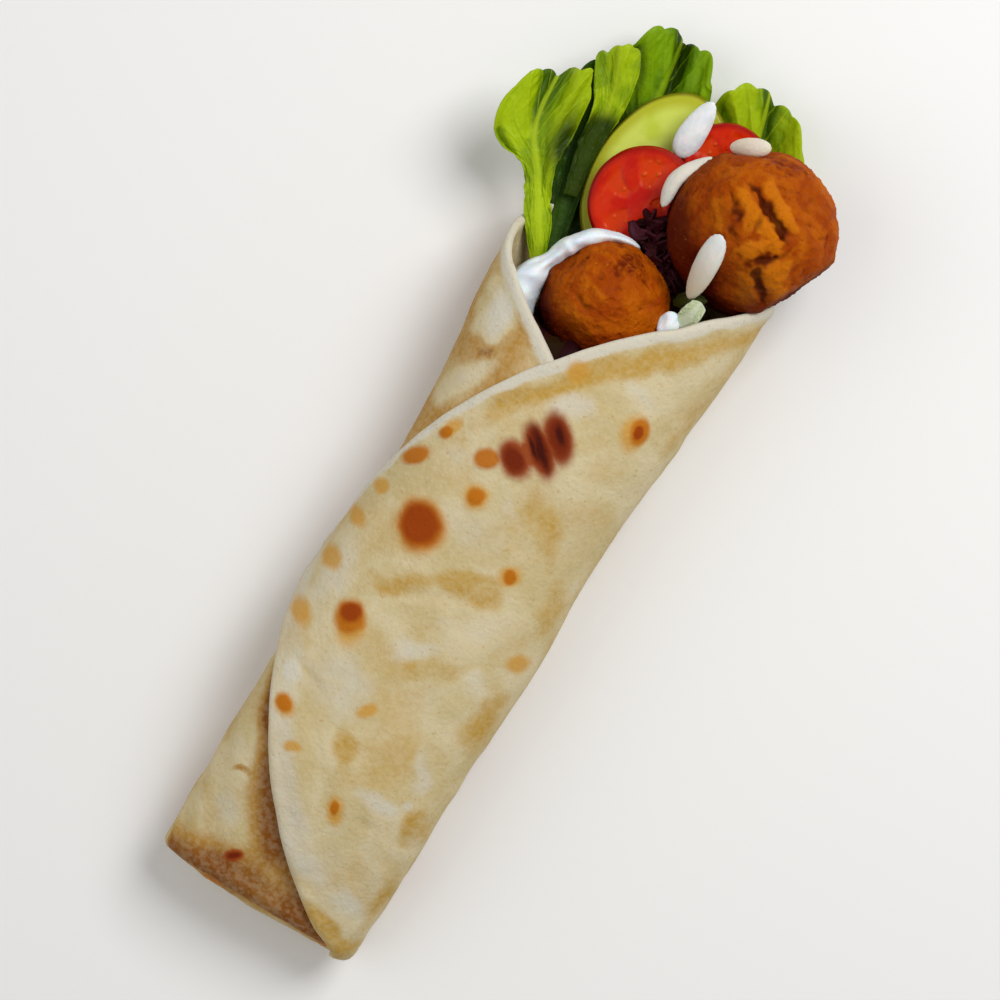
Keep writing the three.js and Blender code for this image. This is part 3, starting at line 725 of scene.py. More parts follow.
def bread_relief(plain, wander, arcs, y, crease):
    """How far the bread's face stands out: waves, spots, creases, blisters, and wrinkles near the foot."""
    relief = 0.5 * noise(plain, 40, 3) * smooth(FOOT_Y, FOOT_Y + 20, y)
    relief += 0.26 * noise(plain, 15, 4) + 0.13 * noise(plain, 6.5, 5) + 0.05 * noise(plain, 3.2, 6)
    relief += 0.4 * smooth(-0.2, 0.7, spot_relief(plain + 0.6 * wander)) - crease
    blister, _, blister_size = grains(plain, 13, 31)
    relief += 0.4 * blister_size * smooth(0.42, 0.0, blister)
    wrinkle = np.sin((y * 0.55 + arcs * 0.9 + 3 * noise(plain, 18, 8)) * 0.55)
    relief += 0.22 * wrinkle * smooth(-40, -100, y)
    return relief


def panel_tan_and_shadow(plain, arcs, y, outer_layer, rim_away, pale_and_highlight):
    """How tan the inner layer's two panels by the flap are: painted shadow along the flap's edge, more at the
    foot.
    """
    covered_line = np.linspace(FLAP["arc"] - FLAP["reach"] + 0.5, FLAP["arc"], 200)
    beside = distance_to(covered_line, flap_edge(covered_line, False), arcs, y)
    panel = np.where(outer_layer | (arcs > 30) | (arcs < -80), 0.0, 1.0)
    lower = panel * (y < FLAP["y"])
    upper = panel * (y >= FLAP["y"])
    toward_tip = smooth(-40, 0, arcs)
    darker_near_foot = smooth(FOOT_Y + 12 + 9 * toward_tip, FOOT_Y + 3 + 4 * toward_tip, y) * smooth(-46, -34, arcs)
    # Painted shadow: a brown band on the lower panel where the flap's edge shades it.
    shade = np.maximum(bump(beside, 0, 3 + 6 * toward_tip), darker_near_foot)
    tan_and_shadow = lower * np.clip(0.1 + 0.95 * shade + 0.2 * noise(plain, 9, 63), 0, 1.1)
    upper_tan = np.clip(0.45 + 0.25 * noise(plain, 11, 64) - pale_and_highlight, 0, 1) * smooth(1, 4, rim_away)
    tan_and_shadow += upper * np.maximum(upper_tan, 0.45 * smooth(-40, -50, arcs))
    return tan_and_shadow


def make_flatbread(material):
    arc, unrolled, depth, low, high, is_inner = bread_columns()
    y = np.stack([bread_rows(a, b) for a, b in zip(low, high)], axis=1)
    arcs = np.broadcast_to(arc, y.shape)
    t = np.broadcast_to(unrolled, y.shape)
    depths = np.broadcast_to(depth, y.shape)
    plain = on_roll(arcs, y, depths)
    outer_layer = np.broadcast_to(~is_inner, y.shape)

    rim_away = distance_to(dense(unrolled), dense(high), t, y)
    free = ~is_inner & (arc < 75)
    hem_away = distance_to(dense(unrolled[free]), dense(low[free]), t, y)
    away = np.minimum(rim_away, hem_away)

    wander = shifts(plain, 9, 81) + 0.4 * shifts(plain, 4, 84)
    wandered = plain + 2.4 * wander
    golden_and_shade, pale_and_highlight, brown_patch = (soft_patches(wandered, patches) for patches in (GOLDEN, PALE_PATCHES_AND_HIGHLIGHTS, BROWN))
    crease = crease_depth(plain)
    relief = bread_relief(plain, wander, arcs, y, crease)

    uneven = 0.5 + 0.5 * noise(plain, 15, 10) + 0.3 * noise(plain, 6, 11)
    rim_bead = bump(rim_away, 1.9, 1.9) * (0.1 + 0.6 * uneven)
    hem_bead = bump(hem_away, 1.8, 1.6) * (0.4 + 0.8 * uneven)
    lifted = np.where(outer_layer, bump(hem_away, 0, 7) * (0.5 + 0.5 * noise(plain, 26, 9)), 0)
    lifted = lifted * smooth(FOOT_Y + 4, FOOT_Y + 25, y)
    outward = relief + 0.9 * lifted
    half = BREAD_THICKNESS / 2
    lip = half * (1 - np.sqrt(1 - np.clip((half - away) / half, 0, 0.98) ** 2))
    end_taper = np.where(t < 4, (4 - t) / 4, 0)
    face = lip - 0.8 * rim_bead - 0.35 * hem_bead + 0.25 * bump(rim_away, 6, 2.4) + end_taper
    outer = on_roll(arcs, y, depths + face, outward)
    inner = on_roll(arcs, y, depths + BREAD_THICKNESS - lip - end_taper + 0.25 * rim_bead, outward * 0.9)

    # Painted highlight: pale bands along the flap's hem and the rim, where the lip catches the light.
    hem_width = 9.5 + 2.5 * noise(plain, 14, 65)
    hem_band = np.where(outer_layer, smooth(hem_width + 3, hem_width - 3, hem_away), 0) * smooth(-98, -90, y)
    hem_band *= 0.8 + 0.25 * noise(plain, 9, 62)
    rim_width = 2.9 + 1.3 * noise(plain, 10, 66) + 0.5 * noise(plain, 4, 67)
    rim_band = smooth(rim_width + 1.1, rim_width - 0.7, rim_away)
    pale = np.maximum.reduce([rim_band, 0.75 * hem_band, 0.8 * pale_and_highlight])
    # Painted shade: a golden-tan band in the hollow under the front rim's curled lip.
    front_rim = np.where(outer_layer, smooth(-40, 10, arcs), 0)
    golden_and_shade = np.maximum(golden_and_shade, 0.8 * front_rim * bump(rim_away, 7.5, 3.4))
    # Painted shade: the sides, where the roll turns away from the light, are painted golden-tan.
    sides = smooth(SIDE_ARC - 11, SIDE_ARC + 3, np.abs(arcs)) * (0.7 + 0.45 * noise(plain, 16, 68))
    golden_and_shade = np.maximum(golden_and_shade * (1 - 0.85 * smooth(0.5, 1, pale)), 0.8 * sides)
    # Painted shade in the creases.
    golden_and_shade += 0.8 * np.clip(crease, 0, 0.5)
    tan_and_shadow = panel_tan_and_shadow(plain, arcs, y, outer_layer, rim_away, pale_and_highlight)
    tan_and_shadow = np.maximum(tan_and_shadow * (1 - 0.8 * pale_and_highlight), np.where(outer_layer, 0, brown_patch))
    hidden = np.maximum(smooth(50, 58, arcs), smooth(-50, -58, arcs))
    fields = {
        "golden_and_shade": np.stack([golden_and_shade, 0.2 + 0 * golden_and_shade]),
        "pale": np.stack([pale, 0.7 * pale]),
        "tan_and_shadow": np.stack([tan_and_shadow, 0.15 + 0 * tan_and_shadow]),
        "hidden": hidden,
    }
    return sheet_mesh("flatbread_roll", outer, inner, False, material, fields)


def make_foot(material):
    """The bread's end folded in over the foot: an upper panel that laps over a lower one."""
    rings, columns = 44, 200
    arc = np.linspace(-HALF_GIRTH, HALF_GIRTH, columns, endpoint=False)[None, :]
    share = np.linspace(1, 0, rings)[:, None]
    edge = on_roll(arc, np.full_like(arc, FOOT_Y + 0.02), 0.0)
    middle = middle_height(FOOT_Y)
    x = edge[..., 0] * share * 1.04
    z = middle + (edge[..., 2] - middle) * share * 1.04
    lap = 1.6 * smooth(0.5, -0.5, z - middle - 0.1 * x + 2 + 0.5 * np.sin(x * 0.25))
    plain = np.stack([x, 0 * x, z], -1)
    puckers = 0.35 * noise(plain, 7, 71) + 0.15 * noise(plain, 2.8, 72)
    face = FOOT_Y + 0.5 + second_layer(arc) * BREAD_THICKNESS * share**3 + (lap + puckers) * (1 - share**4)
    front = np.stack([x, face, z], -1)
    back = np.stack([x, face + 4, z], -1)
    golden_and_shade = np.clip(0.3 + 0.6 * noise(plain, 9, 73), 0, 1)
    nothing = np.zeros_like(x)
    tan_and_shadow = 0.25 + 0.35 * noise(plain, 8, 74) + 0.3 * smooth(0.55, 0.95, share)
    fields = {
        "golden_and_shade": golden_and_shade,
        "pale": np.stack([0.3 * bump(lap, 0.8, 0.5), nothing]),
        "tan_and_shadow": np.stack([tan_and_shadow, nothing]),
        "hidden": nothing + 1,
    }
    return sheet_mesh("flatbread_foot", front, back, True, material, fields)


def spot_distance(s, place, spots):
    """Distance from the nearest spot's middle, as a share of that spot's size."""
    nearest = None
    for pixel_x, pixel_y, long, wide, degrees in spots:
        mapping = s.node("ShaderNodeMapping", vector_type="TEXTURE")
        s.feed(mapping.inputs["Vector"], place)
        mapping.inputs["Location"].default_value = photo_on_bread(pixel_x, pixel_y) * MM
        along_picture = math.pi / 2 - AXIS_ANGLE
        mapping.inputs["Rotation"].default_value = (0, 0, along_picture - math.radians(degrees))
        mapping.inputs["Scale"].default_value = (long * PIXEL * MM, wide * PIXEL * MM, SPOT_WRAP * MM)
        length = s.node("ShaderNodeVectorMath", operation="LENGTH")
        s.feed(length.inputs[0], mapping.outputs["Vector"])
        distance = length.outputs["Value"]
        nearest = s.math("MINIMUM", nearest, distance) if nearest else distance
    return nearest


def bread_material():
    s = Shader("baked flatbread", 0.8, specular=0.15, Subsurface_Weight=0.05, Subsurface_Scale=0.003)
    base = s.tone(colour(200, 180, 130), (212, 196, 156), s.noise(17, 3, 0.4), 0.38, 0.62)
    base = s.tone(base, (198, 168, 108), s.noise(24, 4, 0.8), 0.48, 0.7, 0.65)
    grainy = s.math("MULTIPLY", s.math("SUBTRACT", s.noise(5, 5, 0.4), 0.5), 0.5)
    # The golden-tan channel holds real toasting colour and painted shade on the sides, in the creases and under
    # the rim.
    golden_and_shade = s.math("ADD", s.value("golden_and_shade"), grainy)
    base = s.tone(base, (184, 140, 30), golden_and_shade, 0.05, 1.0, 0.85)
    # The tan channel: the panels' tan, with painted shadow along the flap's edge.
    tan_and_shadow = s.math("ADD", s.value("tan_and_shadow"), s.math("MULTIPLY", grainy, 0.35))
    base = s.tone(base, (176, 128, 44), tan_and_shadow, 0.1, 0.6, 0.9)
    base = s.tone(base, (132, 72, 8), tan_and_shadow, 0.5, 1.1, 0.95)
    # Pale: painted highlight along the rim and hem, and pale patches, some of them painted highlights.
    pale = s.math("SUBTRACT", s.value("pale"), s.math("MULTIPLY", grainy, 0.7))
    base = s.tone(base, (210, 205, 190), pale, 0.1, 0.95, 0.9)
    base = s.tone(base, (226, 214, 178), s.noise(1.6, 4, 0.3), 0.35, 0.65, 0.16)
    base = s.tone(base, (184, 142, 74), s.noise(1.3, 3), 0.62, 0.74, 0.45)

    wander = s.noise(6, 4, output="Color")
    shift = s.node("ShaderNodeVectorMath", operation="MULTIPLY_ADD")
    s.feed(shift.inputs[0], wander)
    shift.inputs[1].default_value = (SPOT_WANDER * MM,) * 3
    centred = s.node("ShaderNodeVectorMath", operation="SUBTRACT")
    s.feed(centred.inputs[0], s.place)
    centred.inputs[1].default_value = (SPOT_WANDER * MM / 2,) * 3
    s.feed(shift.inputs[2], centred.outputs["Vector"])
    for kind, spots in SPOTS.items():
        distance = spot_distance(s, shift.outputs["Vector"], spots)
        soft = SPOT_SOFTNESS[kind]
        strength = 0.85 if kind == "faint" else 0.95
        base = s.tone(base, SPOT_COLOURS[kind], distance, 1 + soft * 0.3, 1 - soft, strength)
    unseen = s.node("ShaderNodeTexVoronoi")
    s.feed(unseen.inputs["Vector"], shift.outputs["Vector"])
    unseen.inputs["Scale"].default_value = 1 / (19 * MM)
    away = unseen.outputs["Distance"]
    halo = s.math("MULTIPLY", s.step(away, 0.36, 0.24), s.value("hidden"))
    core = s.math("MULTIPLY", s.step(away, 0.25, 0.16), s.value("hidden"))
    base = s.blend(base, colour(*SPOT_COLOURS["toasted"]), s.math("MULTIPLY", halo, 0.85))
    base = s.blend(base, colour(*SPOT_COLOURS["brown"]), s.math("MULTIPLY", core, 0.9))
    s.paint(base)
    first = s.bump(s.noise(1.1, 4), 0.25, 1.0)
    s.bump(s.noise(4.5, 4), 0.5, 0.8, first)
    return s.material


# Falafels: fried crust with flat cheeks, lumps, grains of crumb, pits and cracks

# Cracks of the large falafel: the directions that each runs through, its depth and its half width
CRACKS = [
    ([(-0.33, 0.42, 0.84), (-0.08, 0.27, 0.96), (0.16, 0.14, 0.98), (0.39, 0.09, 0.91)], 1.7, 0.06),
    ([(0.01, -0.54, 0.84), (0.19, -0.33, 0.92), (0.39, -0.18, 0.9), (0.48, 0.01, 0.88)], 1.4, 0.055),
    ([(0.2, -0.36, 0.91), (0.36, -0.52, 0.77), (0.52, -0.67, 0.52)], 1.3, 0.065),
    ([(-0.56, 0.19, 0.81), (-0.3, -0.03, 0.95), (-0.18, -0.29, 0.94)], 0.8, 0.06),
    ([(-0.08, 0.27, 0.96), (-0.02, 0.02, 1), (0.05, -0.12, 0.99)], 0.8, 0.06),
]
# Cracks of the small falafel, given in the same way
SMALL_CRACKS = [
    ([(-0.73, -0.09, 0.68), (-0.3, -0.18, 0.93), (0.19, -0.24, 0.95)], 0.55, 0.08),
    ([(0.46, 0.19, 0.87), (0.69, 0.37, 0.62)], 0.35, 0.07),
]


def ball_grid(subdivisions):
    mesh = bmesh.new()
    bmesh.ops.create_icosphere(mesh, subdivisions=subdivisions, radius=1)
    points = np.array([vertex.co[:] for vertex in mesh.verts])
    faces = np.array([[vertex.index for vertex in face.verts] for face in mesh.faces])
    mesh.free()
    return points, faces


def crack_field(direction, cracks):
    """How deep the cracks cut in each direction, and how far the crust stands up beside them."""
    crack, ridge = np.zeros(len(direction)), np.zeros(len(direction))
    wander = direction + 0.07 * shifts(direction, 0.2, 90) + 0.03 * shifts(direction, 0.07, 93)
    uneven = 1 + 0.6 * noise(direction, 0.15, 97)
    for line, depth, width in cracks:
        line = [np.array(point) / np.linalg.norm(point) for point in line]
        nearest, where = np.full(len(direction), 9.0), np.zeros(len(direction))
        for i, (a, b) in enumerate(zip(line, line[1:])):
            share = np.clip((wander - a) @ (b - a) / ((b - a) @ (b - a)), 0, 1)
            away = np.linalg.norm(wander - (a + share[:, None] * (b - a)), axis=1)
            where = np.where(away < nearest, (i + share) / (len(line) - 1), where)
            nearest = np.minimum(nearest, away)
        taper = np.sin(math.pi * mix(0.05, 0.95, where)) ** 0.7
        crack = np.maximum(crack, depth * taper * bump(nearest, 0, width * (0.3 + 0.7 * taper) * uneven))
        ridge = np.maximum(ridge, taper * depth * bump(nearest, 2.8 * width, 1.5 * width))
    return crack, ridge


def make_falafel(name, spec, cracks, material):
    direction, faces = ball_grid(7)
    radius, seed = spec["radius"], spec["seed"]
    flat = np.full(len(direction), radius)
    for x, y, z, share in spec["cheeks"]:
        toward = np.array([x, y, z]) / np.linalg.norm([x, y, z])
        facing = direction @ toward
        cheek = radius * share / np.maximum(facing, 0.5)
        soft = np.clip(0.5 + (flat - cheek) / 1.6, 0, 1)
        flat = mix(flat, cheek, soft) - 0.8 * soft * (1 - soft)
    at = direction * radius
    crack, ridge = crack_field(direction, cracks)
    wander = at + 0.9 * shifts(at, 2.2, seed + 60)
    _, gap, tint = grains(wander, 2.4, seed + 3)
    _, small_gap, small_tint = grains(wander, 1.1, seed + 13)
    crumb = smooth(0.0, 0.6, gap) * tint**1.5
    small = smooth(0.0, 0.5, small_gap) * small_tint
    rough = np.abs(rough_noise(at, 3.2, 4, seed + 7))
    relief = 0.5 * noise(at, 13, seed + 1) + 0.5 * noise(at, 6, seed + 2) - 0.45 * rough
    relief += 0.26 * crumb + 0.2 * small + 0.4 * ridge
    pits, _, pit_tint = grains(wander, 4.5, seed + 40)
    relief -= 0.6 * smooth(0.24, 0.05, pits) * (pit_tint > 0.65)
    points = np.array(spec["at"]) + direction * (flat + relief - crack)[:, None]
    points = inside_roll(points, 0.0)
    # Painted shade: the side that faces away from the key light, toward the foot and the floor, is painted
    # darker; the noise adds uneven frying.
    shade = 0.5 - 0.5 * direction @ np.array([0.25, 0.66, 0.7]) + 0.14 * noise(at, 11, seed + 6)
    fields = {
        "height": np.clip((relief + 1.2) / 2.2, 0, 1),
        "crack": np.clip(crack / 1.3, 0, 1),
        "ridge": np.clip(ridge, 0, 1),
        "fried_and_shaded": np.clip(shade, 0, 1),
    }
    return make_mesh(name, points, faces, material, fields)


def falafel_material():
    s = Shader("fried falafel crust", roughness=0.68, specular=0.06)
    base = s.tone(colour(152, 60, 0), (178, 86, 0), s.noise(10, 3, 0.8), 0.36, 0.64)
    # Painted highlights on bumps and ridges; painted shade in hollows, in cracks and on the side away from the
    # light
    base = s.tone(base, (196, 104, 4), s.value("height"), 0.6, 0.95, 0.6)
    base = s.blend(colour(104, 30, 0), base, s.step(s.value("height"), 0.1, 0.45))
    base = s.tone(base, (204, 116, 10), s.value("ridge"), 0.2, 0.9, 0.7)
    base = s.tone(base, (84, 14, 0), s.value("fried_and_shaded"), 0.2, 0.62, 0.92)
    base = s.tone(base, (58, 12, 0), s.value("crack"), 0.06, 0.7, 0.85)
    base = s.tone(base, (96, 34, 0), s.noise(0.9, 3), 0.62, 0.72, 0.5)
    base = s.tone(base, (206, 126, 22), s.noise(1.4, 4), 0.66, 0.76, 0.4)
    s.paint(base)
    s.roughness(s.step(s.noise(2.2, 3), 0.3, 0.7, 0.5, 0.8))
    first = s.bump(s.noise(0.5, 5), 0.2, 1.0)
    s.bump(s.noise(1.5, 4), 0.3, 0.9, first)
    return s.material


# Round slices of tomato and cucumber

# Middle, radii, thickness, and tilt along and across the roll. The hub is the place on the face, as a share of
# the radii, from which a slice's mesh spreads.
TOMATO_FRONT = {
    "at": (-8.2, 117.0, 19.5), "radii": (15.5, 16.3), "thickness": 5.0, "rise": 0.16, "lean": -0.06,
}
TOMATO_BACK = {
    "at": (6.5, 137.6, 18.0), "radii": (12.8, 12.7), "thickness": 4.5, "rise": 0.1, "lean": 0.05,
    "hub": (-0.22, 0.58),
}
CUCUMBER = {"at": (-8.5, 124.0, 12.2), "radii": (18.2, 27.6), "thickness": 3.2, "rise": 0.09, "lean": -0.05}
# Room between a slice and a falafel
SLICE_ROOM = 0.9


def make_slice(name, spec, surface, material):
    """A slice whose face comes from surface(share of the radius, angle), which gives relief and fields."""
    segments, rings = 200, 62
    half = spec["thickness"] / 2
    edge = spec["thickness"] * 0.28
    angle = np.linspace(0, 2 * math.pi, segments, endpoint=False)[None, :]
    share = np.linspace(0.0, 1, rings)[:, None] ** 0.85
    ruff = 1 + 0.008 * noise(np.stack([20 * np.cos(angle), 20 * np.sin(angle), 0 * angle], -1), 6, 15)
    hub_x, hub_y = spec.get("hub", (0, 0))
    facing = hub_x * np.cos(angle) + hub_y * np.sin(angle)
    length = np.sqrt(1 - hub_x**2 - hub_y**2 + facing**2) - facing
    face_x = hub_x + share * length * np.cos(angle)
    face_y = hub_y + share * length * np.sin(angle)
    relief, fields = surface(np.hypot(face_x, face_y), np.arctan2(face_y, face_x))
    inset = edge / spec["radii"][0]
    round_off = half * 0.75 * smooth(1 - inset, 1.0, share + 0 * angle) ** 2
    x = spec["radii"][0] * ruff * face_x
    y = spec["radii"][1] * ruff * face_y
    rise, lean = spec["rise"], spec["lean"]
    tip = np.array([[1, 0, 0], [0, math.cos(rise), -math.sin(rise)], [0, math.sin(rise), math.cos(rise)]])
    roll = np.array([[math.cos(lean), 0, math.sin(lean)], [0, 1, 0], [-math.sin(lean), 0, math.cos(lean)]])

    def set_down(height):
        return np.stack([x, y, height + 0 * x], -1) @ (roll @ tip).T + np.array(spec["at"])

    # Where a falafel is in the way, the slice's edge is pressed back toward the hub
    blocked = np.zeros(x.shape, bool)
    for ball in (FALAFEL_LEFT, FALAFEL_RIGHT):
        away = np.linalg.norm(set_down(half) - np.array(ball["at"]), axis=-1)
        blocked |= away < ball["radius"] + SLICE_ROOM
    limit = np.where(blocked.any(axis=0), share.ravel()[blocked.argmax(axis=0)], 1.0)
    middle_x, middle_y = hub_x * spec["radii"][0], hub_y * spec["radii"][1]
    x, y = mix(middle_x, x, limit), mix(middle_y, y, limit)
    top = set_down(half - round_off + relief * (share < 0.995))
    return sheet_mesh(name, top, set_down(-half + round_off), True, material, fields)


def on_disc(share, angle):
    return np.stack([share * np.cos(angle), share * np.sin(angle), 0 * share], -1)


def tomato_face(seed, chambers):
    def surface(share, angle):
        place = on_disc(share, angle)
        wobble = 0.25 * noise(place, 0.5, seed)
        wave = np.cos(chambers * (angle + wobble + seed))
        chamber = smooth(-0.5, 0.6, wave) * smooth(0.22, 0.36, share)
        chamber *= smooth(0.84, 0.7, share + 0.05 * wobble)
        seeds, _, seed_tint = grains(place, 0.13, seed + 3)
        seed_bump = smooth(0.42, 0.2, seeds) * chamber * (seed_tint > 0.45)
        relief = -0.4 * chamber + 0.4 * seed_bump + 0.12 * noise(place, 0.25, seed + 1)
        return relief, {"chamber": chamber, "seed": seed_bump, "share": share}

    return surface


def cucumber_face(share, angle):
    place = on_disc(share, angle)
    middle = smooth(0.62, 0.5, share + 0.05 * np.cos(3 * angle))
    seeds = smooth(0.5, 0.15, np.abs((share - 0.34) / 0.12)) * smooth(0.55, 0.85, np.cos(14 * angle) ** 2)
    relief = -0.2 * middle + 0.25 * seeds * middle + 0.06 * noise(place, 0.12, 51)
    return relief, {"chamber": middle, "seed": seeds * middle, "share": share}


def tomato_material():
    s = Shader("tomato slice", roughness=0.34, specular=0.16)
    base = s.tone(colour(190, 16, 0), (206, 40, 0), s.noise(7, 3), 0.4, 0.65)
    base = s.blend(base, colour(214, 66, 0), s.math("MULTIPLY", s.value("chamber"), 0.6))
    base = s.blend(base, colour(214, 100, 8), s.math("MULTIPLY", s.value("seed"), 0.4))
    base = s.tone(base, (216, 84, 8), s.noise(1.6, 3, 0.6, (1, 0.25, 1)), 0.5, 0.75, 0.2)
    base = s.tone(base, (156, 8, 0), s.value("share"), 0.82, 0.98)
    s.paint(base)
    s.bump(s.noise(1.4, 3), 0.15, 0.6)
    return s.material


def cucumber_material():
    s = Shader("cucumber slice", roughness=0.3, specular=0.25, Subsurface_Weight=0.1, Subsurface_Scale=0.002)
    s.surface.inputs["Subsurface Radius"].default_value = (0.7, 1.0, 0.3)
    base = s.tone(colour(190, 206, 62), (206, 218, 92), s.noise(9, 3), 0.4, 0.62)
    base = s.blend(base, colour(200, 214, 104), s.math("MULTIPLY", s.value("chamber"), 0.5))
    base = s.blend(base, colour(216, 218, 140), s.math("MULTIPLY", s.value("seed"), 0.6))
    base = s.tone(base, (178, 180, 30), s.value("share"), 0.76, 0.92, 0.9)
    base = s.tone(base, (122, 118, 10), s.value("share"), 0.94, 0.99)
    s.paint(base)
    s.bump(s.noise(1.2, 3, stretch=(1, 0.4, 1)), 0.12, 0.6)
    return s.material


# Leaves: a thin sheet between two edges or along a spine, with a ruffled, lobed margin

# The share of a leaf's length from which its ruffles fan out
FAN_AT = 0.3
# Room between a leaf and the bread
LEAF_ROOM = 0.9
# What holds for a leaf whose own numbers don't say otherwise
PLAIN_LEAF = {
    "thickness": 0.7, "cup": 0, "round": 0.12, "roll": 0, "ruffle": 0, "pucker": 0, "rib": 0, "cream": (0, 0),
    "veins": True, "inside": True, "plump": False, "dark_at": (9, 9), "dark_below": -1,
}


def spline(points, v):
    """A smooth curve through a few points, at shares v of its length."""
    points = np.array(points, float)
    count = len(points) - 1
    ends = np.concatenate([[2 * points[0] - points[1]], points, [2 * points[-1] - points[-2]]])
    at = np.clip(v, 0, 1) * count
    i = np.minimum(at.astype(int), count - 1)
    f = (at - i)[..., None]
    a, b, c, d = (ends[i + k] for k in range(4))
    return 0.5 * (2 * b + (c - a) * f + (2 * a - 5 * b + 4 * c - d) * f**2 + (3 * b - a - 3 * c + d) * f**3)


def along(values, v):
    values = np.array(values, float)
    at = np.clip(v, 0, 1) * (len(values) - 1)
    i = np.minimum(at.astype(int), len(values) - 2)
    return mix(values[i], values[i + 1], smooth(0, 1, at - i))


def leaf_frame(spec, reach):
    """At shares of a leaf's length: its middle, the ways along and across it, and its half width."""

    def middle(share):
        if "left" in spec:
            return (spline(spec["left"], share) + spline(spec["right"], share)) / 2
        return spline(spec["spine"], share)

    tangent = middle(np.clip(reach + 0.01, 0, 1)) - middle(np.clip(reach - 0.01, 0, 1))
    tangent /= np.linalg.norm(tangent, axis=-1, keepdims=True)
    if "left" in spec:
        side = (spline(spec["right"], reach) - spline(spec["left"], reach)) / 2
        half = np.linalg.norm(side, axis=-1)
        return middle(reach), tangent, side / half[..., None], half
    side = np.cross(tangent, [0, 0, 1])
    side /= np.linalg.norm(side, axis=-1, keepdims=True)
    side = side * math.cos(spec["roll"]) + np.cross(tangent, side) * math.sin(spec["roll"])
    return middle(reach), tangent, side, along(spec["widths"], reach)


def leaf_surface(spec, rows, columns):
    """A leaf's surface, each place's share across and along it, how far it is lifted, and its half width."""
    spec = {**PLAIN_LEAF, **spec}
    v = np.linspace(0, 1, rows)[:, None] + np.zeros((1, columns))
    u = np.linspace(-1, 1, columns)[None, :] + np.zeros((rows, 1))
    corner = 0.1 * u**8 if spec["ruffle"] else 0
    reach = np.clip(v * (1 - spec["round"] * u * u - corner), 0, 1)
    centre, tangent, side, half = leaf_frame(spec, reach)
    normal = np.cross(side, tangent)
    lift = spec["cup"] * u * u * half
    place = centre + side * (u * half)[..., None]
    if spec["ruffle"]:
        # The ruffles fan out from a place on the midrib, and the margin's lobes are their outer ends
        long = np.linalg.norm(np.diff(centre[:, columns // 2], axis=0), axis=1).sum()
        across, forward = u * half, (v - FAN_AT) * long
        span = np.hypot(across, forward) + 1e-6
        turn = np.arctan2(across, forward)
        fan = np.stack([18 * np.cos(turn), 18 * np.sin(turn), 0 * u], -1)
        phase = spec["ruffles"] * turn + 1.3 * noise(fan, 11, spec["seed"]) + 0.05 * span + spec["seed"]
        margin = np.maximum(smooth(0.15, 1, np.abs(u)), smooth(0.5, 1, v)) * smooth(0.32, 0.62, v)
        strength = 1 + 0.45 * noise(fan, 14, spec["seed"] + 1)
        wave = np.sin(phase) + 0.3 * margin * np.sin(2.6 * phase + 1.1)
        lift = lift + spec["ruffle"] * strength * margin**1.5 * wave
        lobes = np.abs(np.sin(phase / 2 + 0.6)) + 0.3 * np.abs(np.sin(1.7 * phase + 0.4)) - 0.75
        outward = spec["lobe"] * strength * margin**2.5 * lobes
        place += side * (outward * across / span)[..., None] + tangent * (outward * forward / span)[..., None]
    return place + normal * lift[..., None], u, v, lift, half


def vein_field(u, v, half, pairs):
    """How near each place of a leaf is to its midrib or to a side vein, from 0 to 1."""
    rib = bump(u * half, 0, mix(2.2, 0.6, v))
    spacing = (v - 0.42 * np.abs(u) ** 0.9) * pairs
    side = np.abs(spacing - np.round(spacing)) / pairs * 60
    return np.maximum(rib, 0.75 * bump(side, 0, 0.5) * smooth(0.0, 0.12, np.abs(u)) * (1 - 0.5 * np.abs(u)))


def make_leaf(name, spec, material, rows=150, columns=110, pairs=9):
    spec = {**PLAIN_LEAF, **spec}
    middle, u, v, lift, half = leaf_surface(spec, rows, columns)
    vein = vein_field(u, v, half, pairs) if spec["veins"] else np.zeros_like(u)
    flat = np.stack([30 * u, 60 * v, 0 * u], -1)
    pucker = spec["pucker"] * (1 - vein) * rough_noise(flat, 4.5, 2, 66)
    normal = grid_normals(middle)
    if normal[..., 2].mean() < 0:
        normal = -normal
    middle = middle + normal * pucker[..., None]
    if spec["inside"]:
        middle = inside_roll(middle, LEAF_ROOM)
    end = np.minimum(np.minimum(v, 1 - v) * 60, (1 - np.abs(u)) * half)
    if spec["plump"]:
        fullness = (1 - np.abs(u) ** 2.4) * (1 - np.abs(2 * v - 1) ** 3)
        body = spec["thickness"] / 2 * np.sqrt(np.clip(fullness, 0.004, 1))
    else:
        body = spec["thickness"] / 2 * (0.35 + 0.65 * smooth(0, 1.2, end)) + spec["rib"] * vein
    outer = middle + normal * body[..., None]
    inner = middle - normal * body[..., None]
    # Painted shade: the leaf is painted dark below dark_below and round dark_at.
    dark_u, dark_v = spec["dark_at"]
    foot_shade = smooth(0.1, -0.1, v - spec["dark_below"])
    shade = np.maximum(foot_shade, bump(u, dark_u, 0.4) * bump(v, dark_v, 0.16))
    cream = mix(*spec["cream"], v)
    fields = {"vein": vein, "shade": shade, "cream": cream, "margin": np.abs(u), "lift": lift}
    return sheet_mesh(name, outer, inner, False, material, fields)


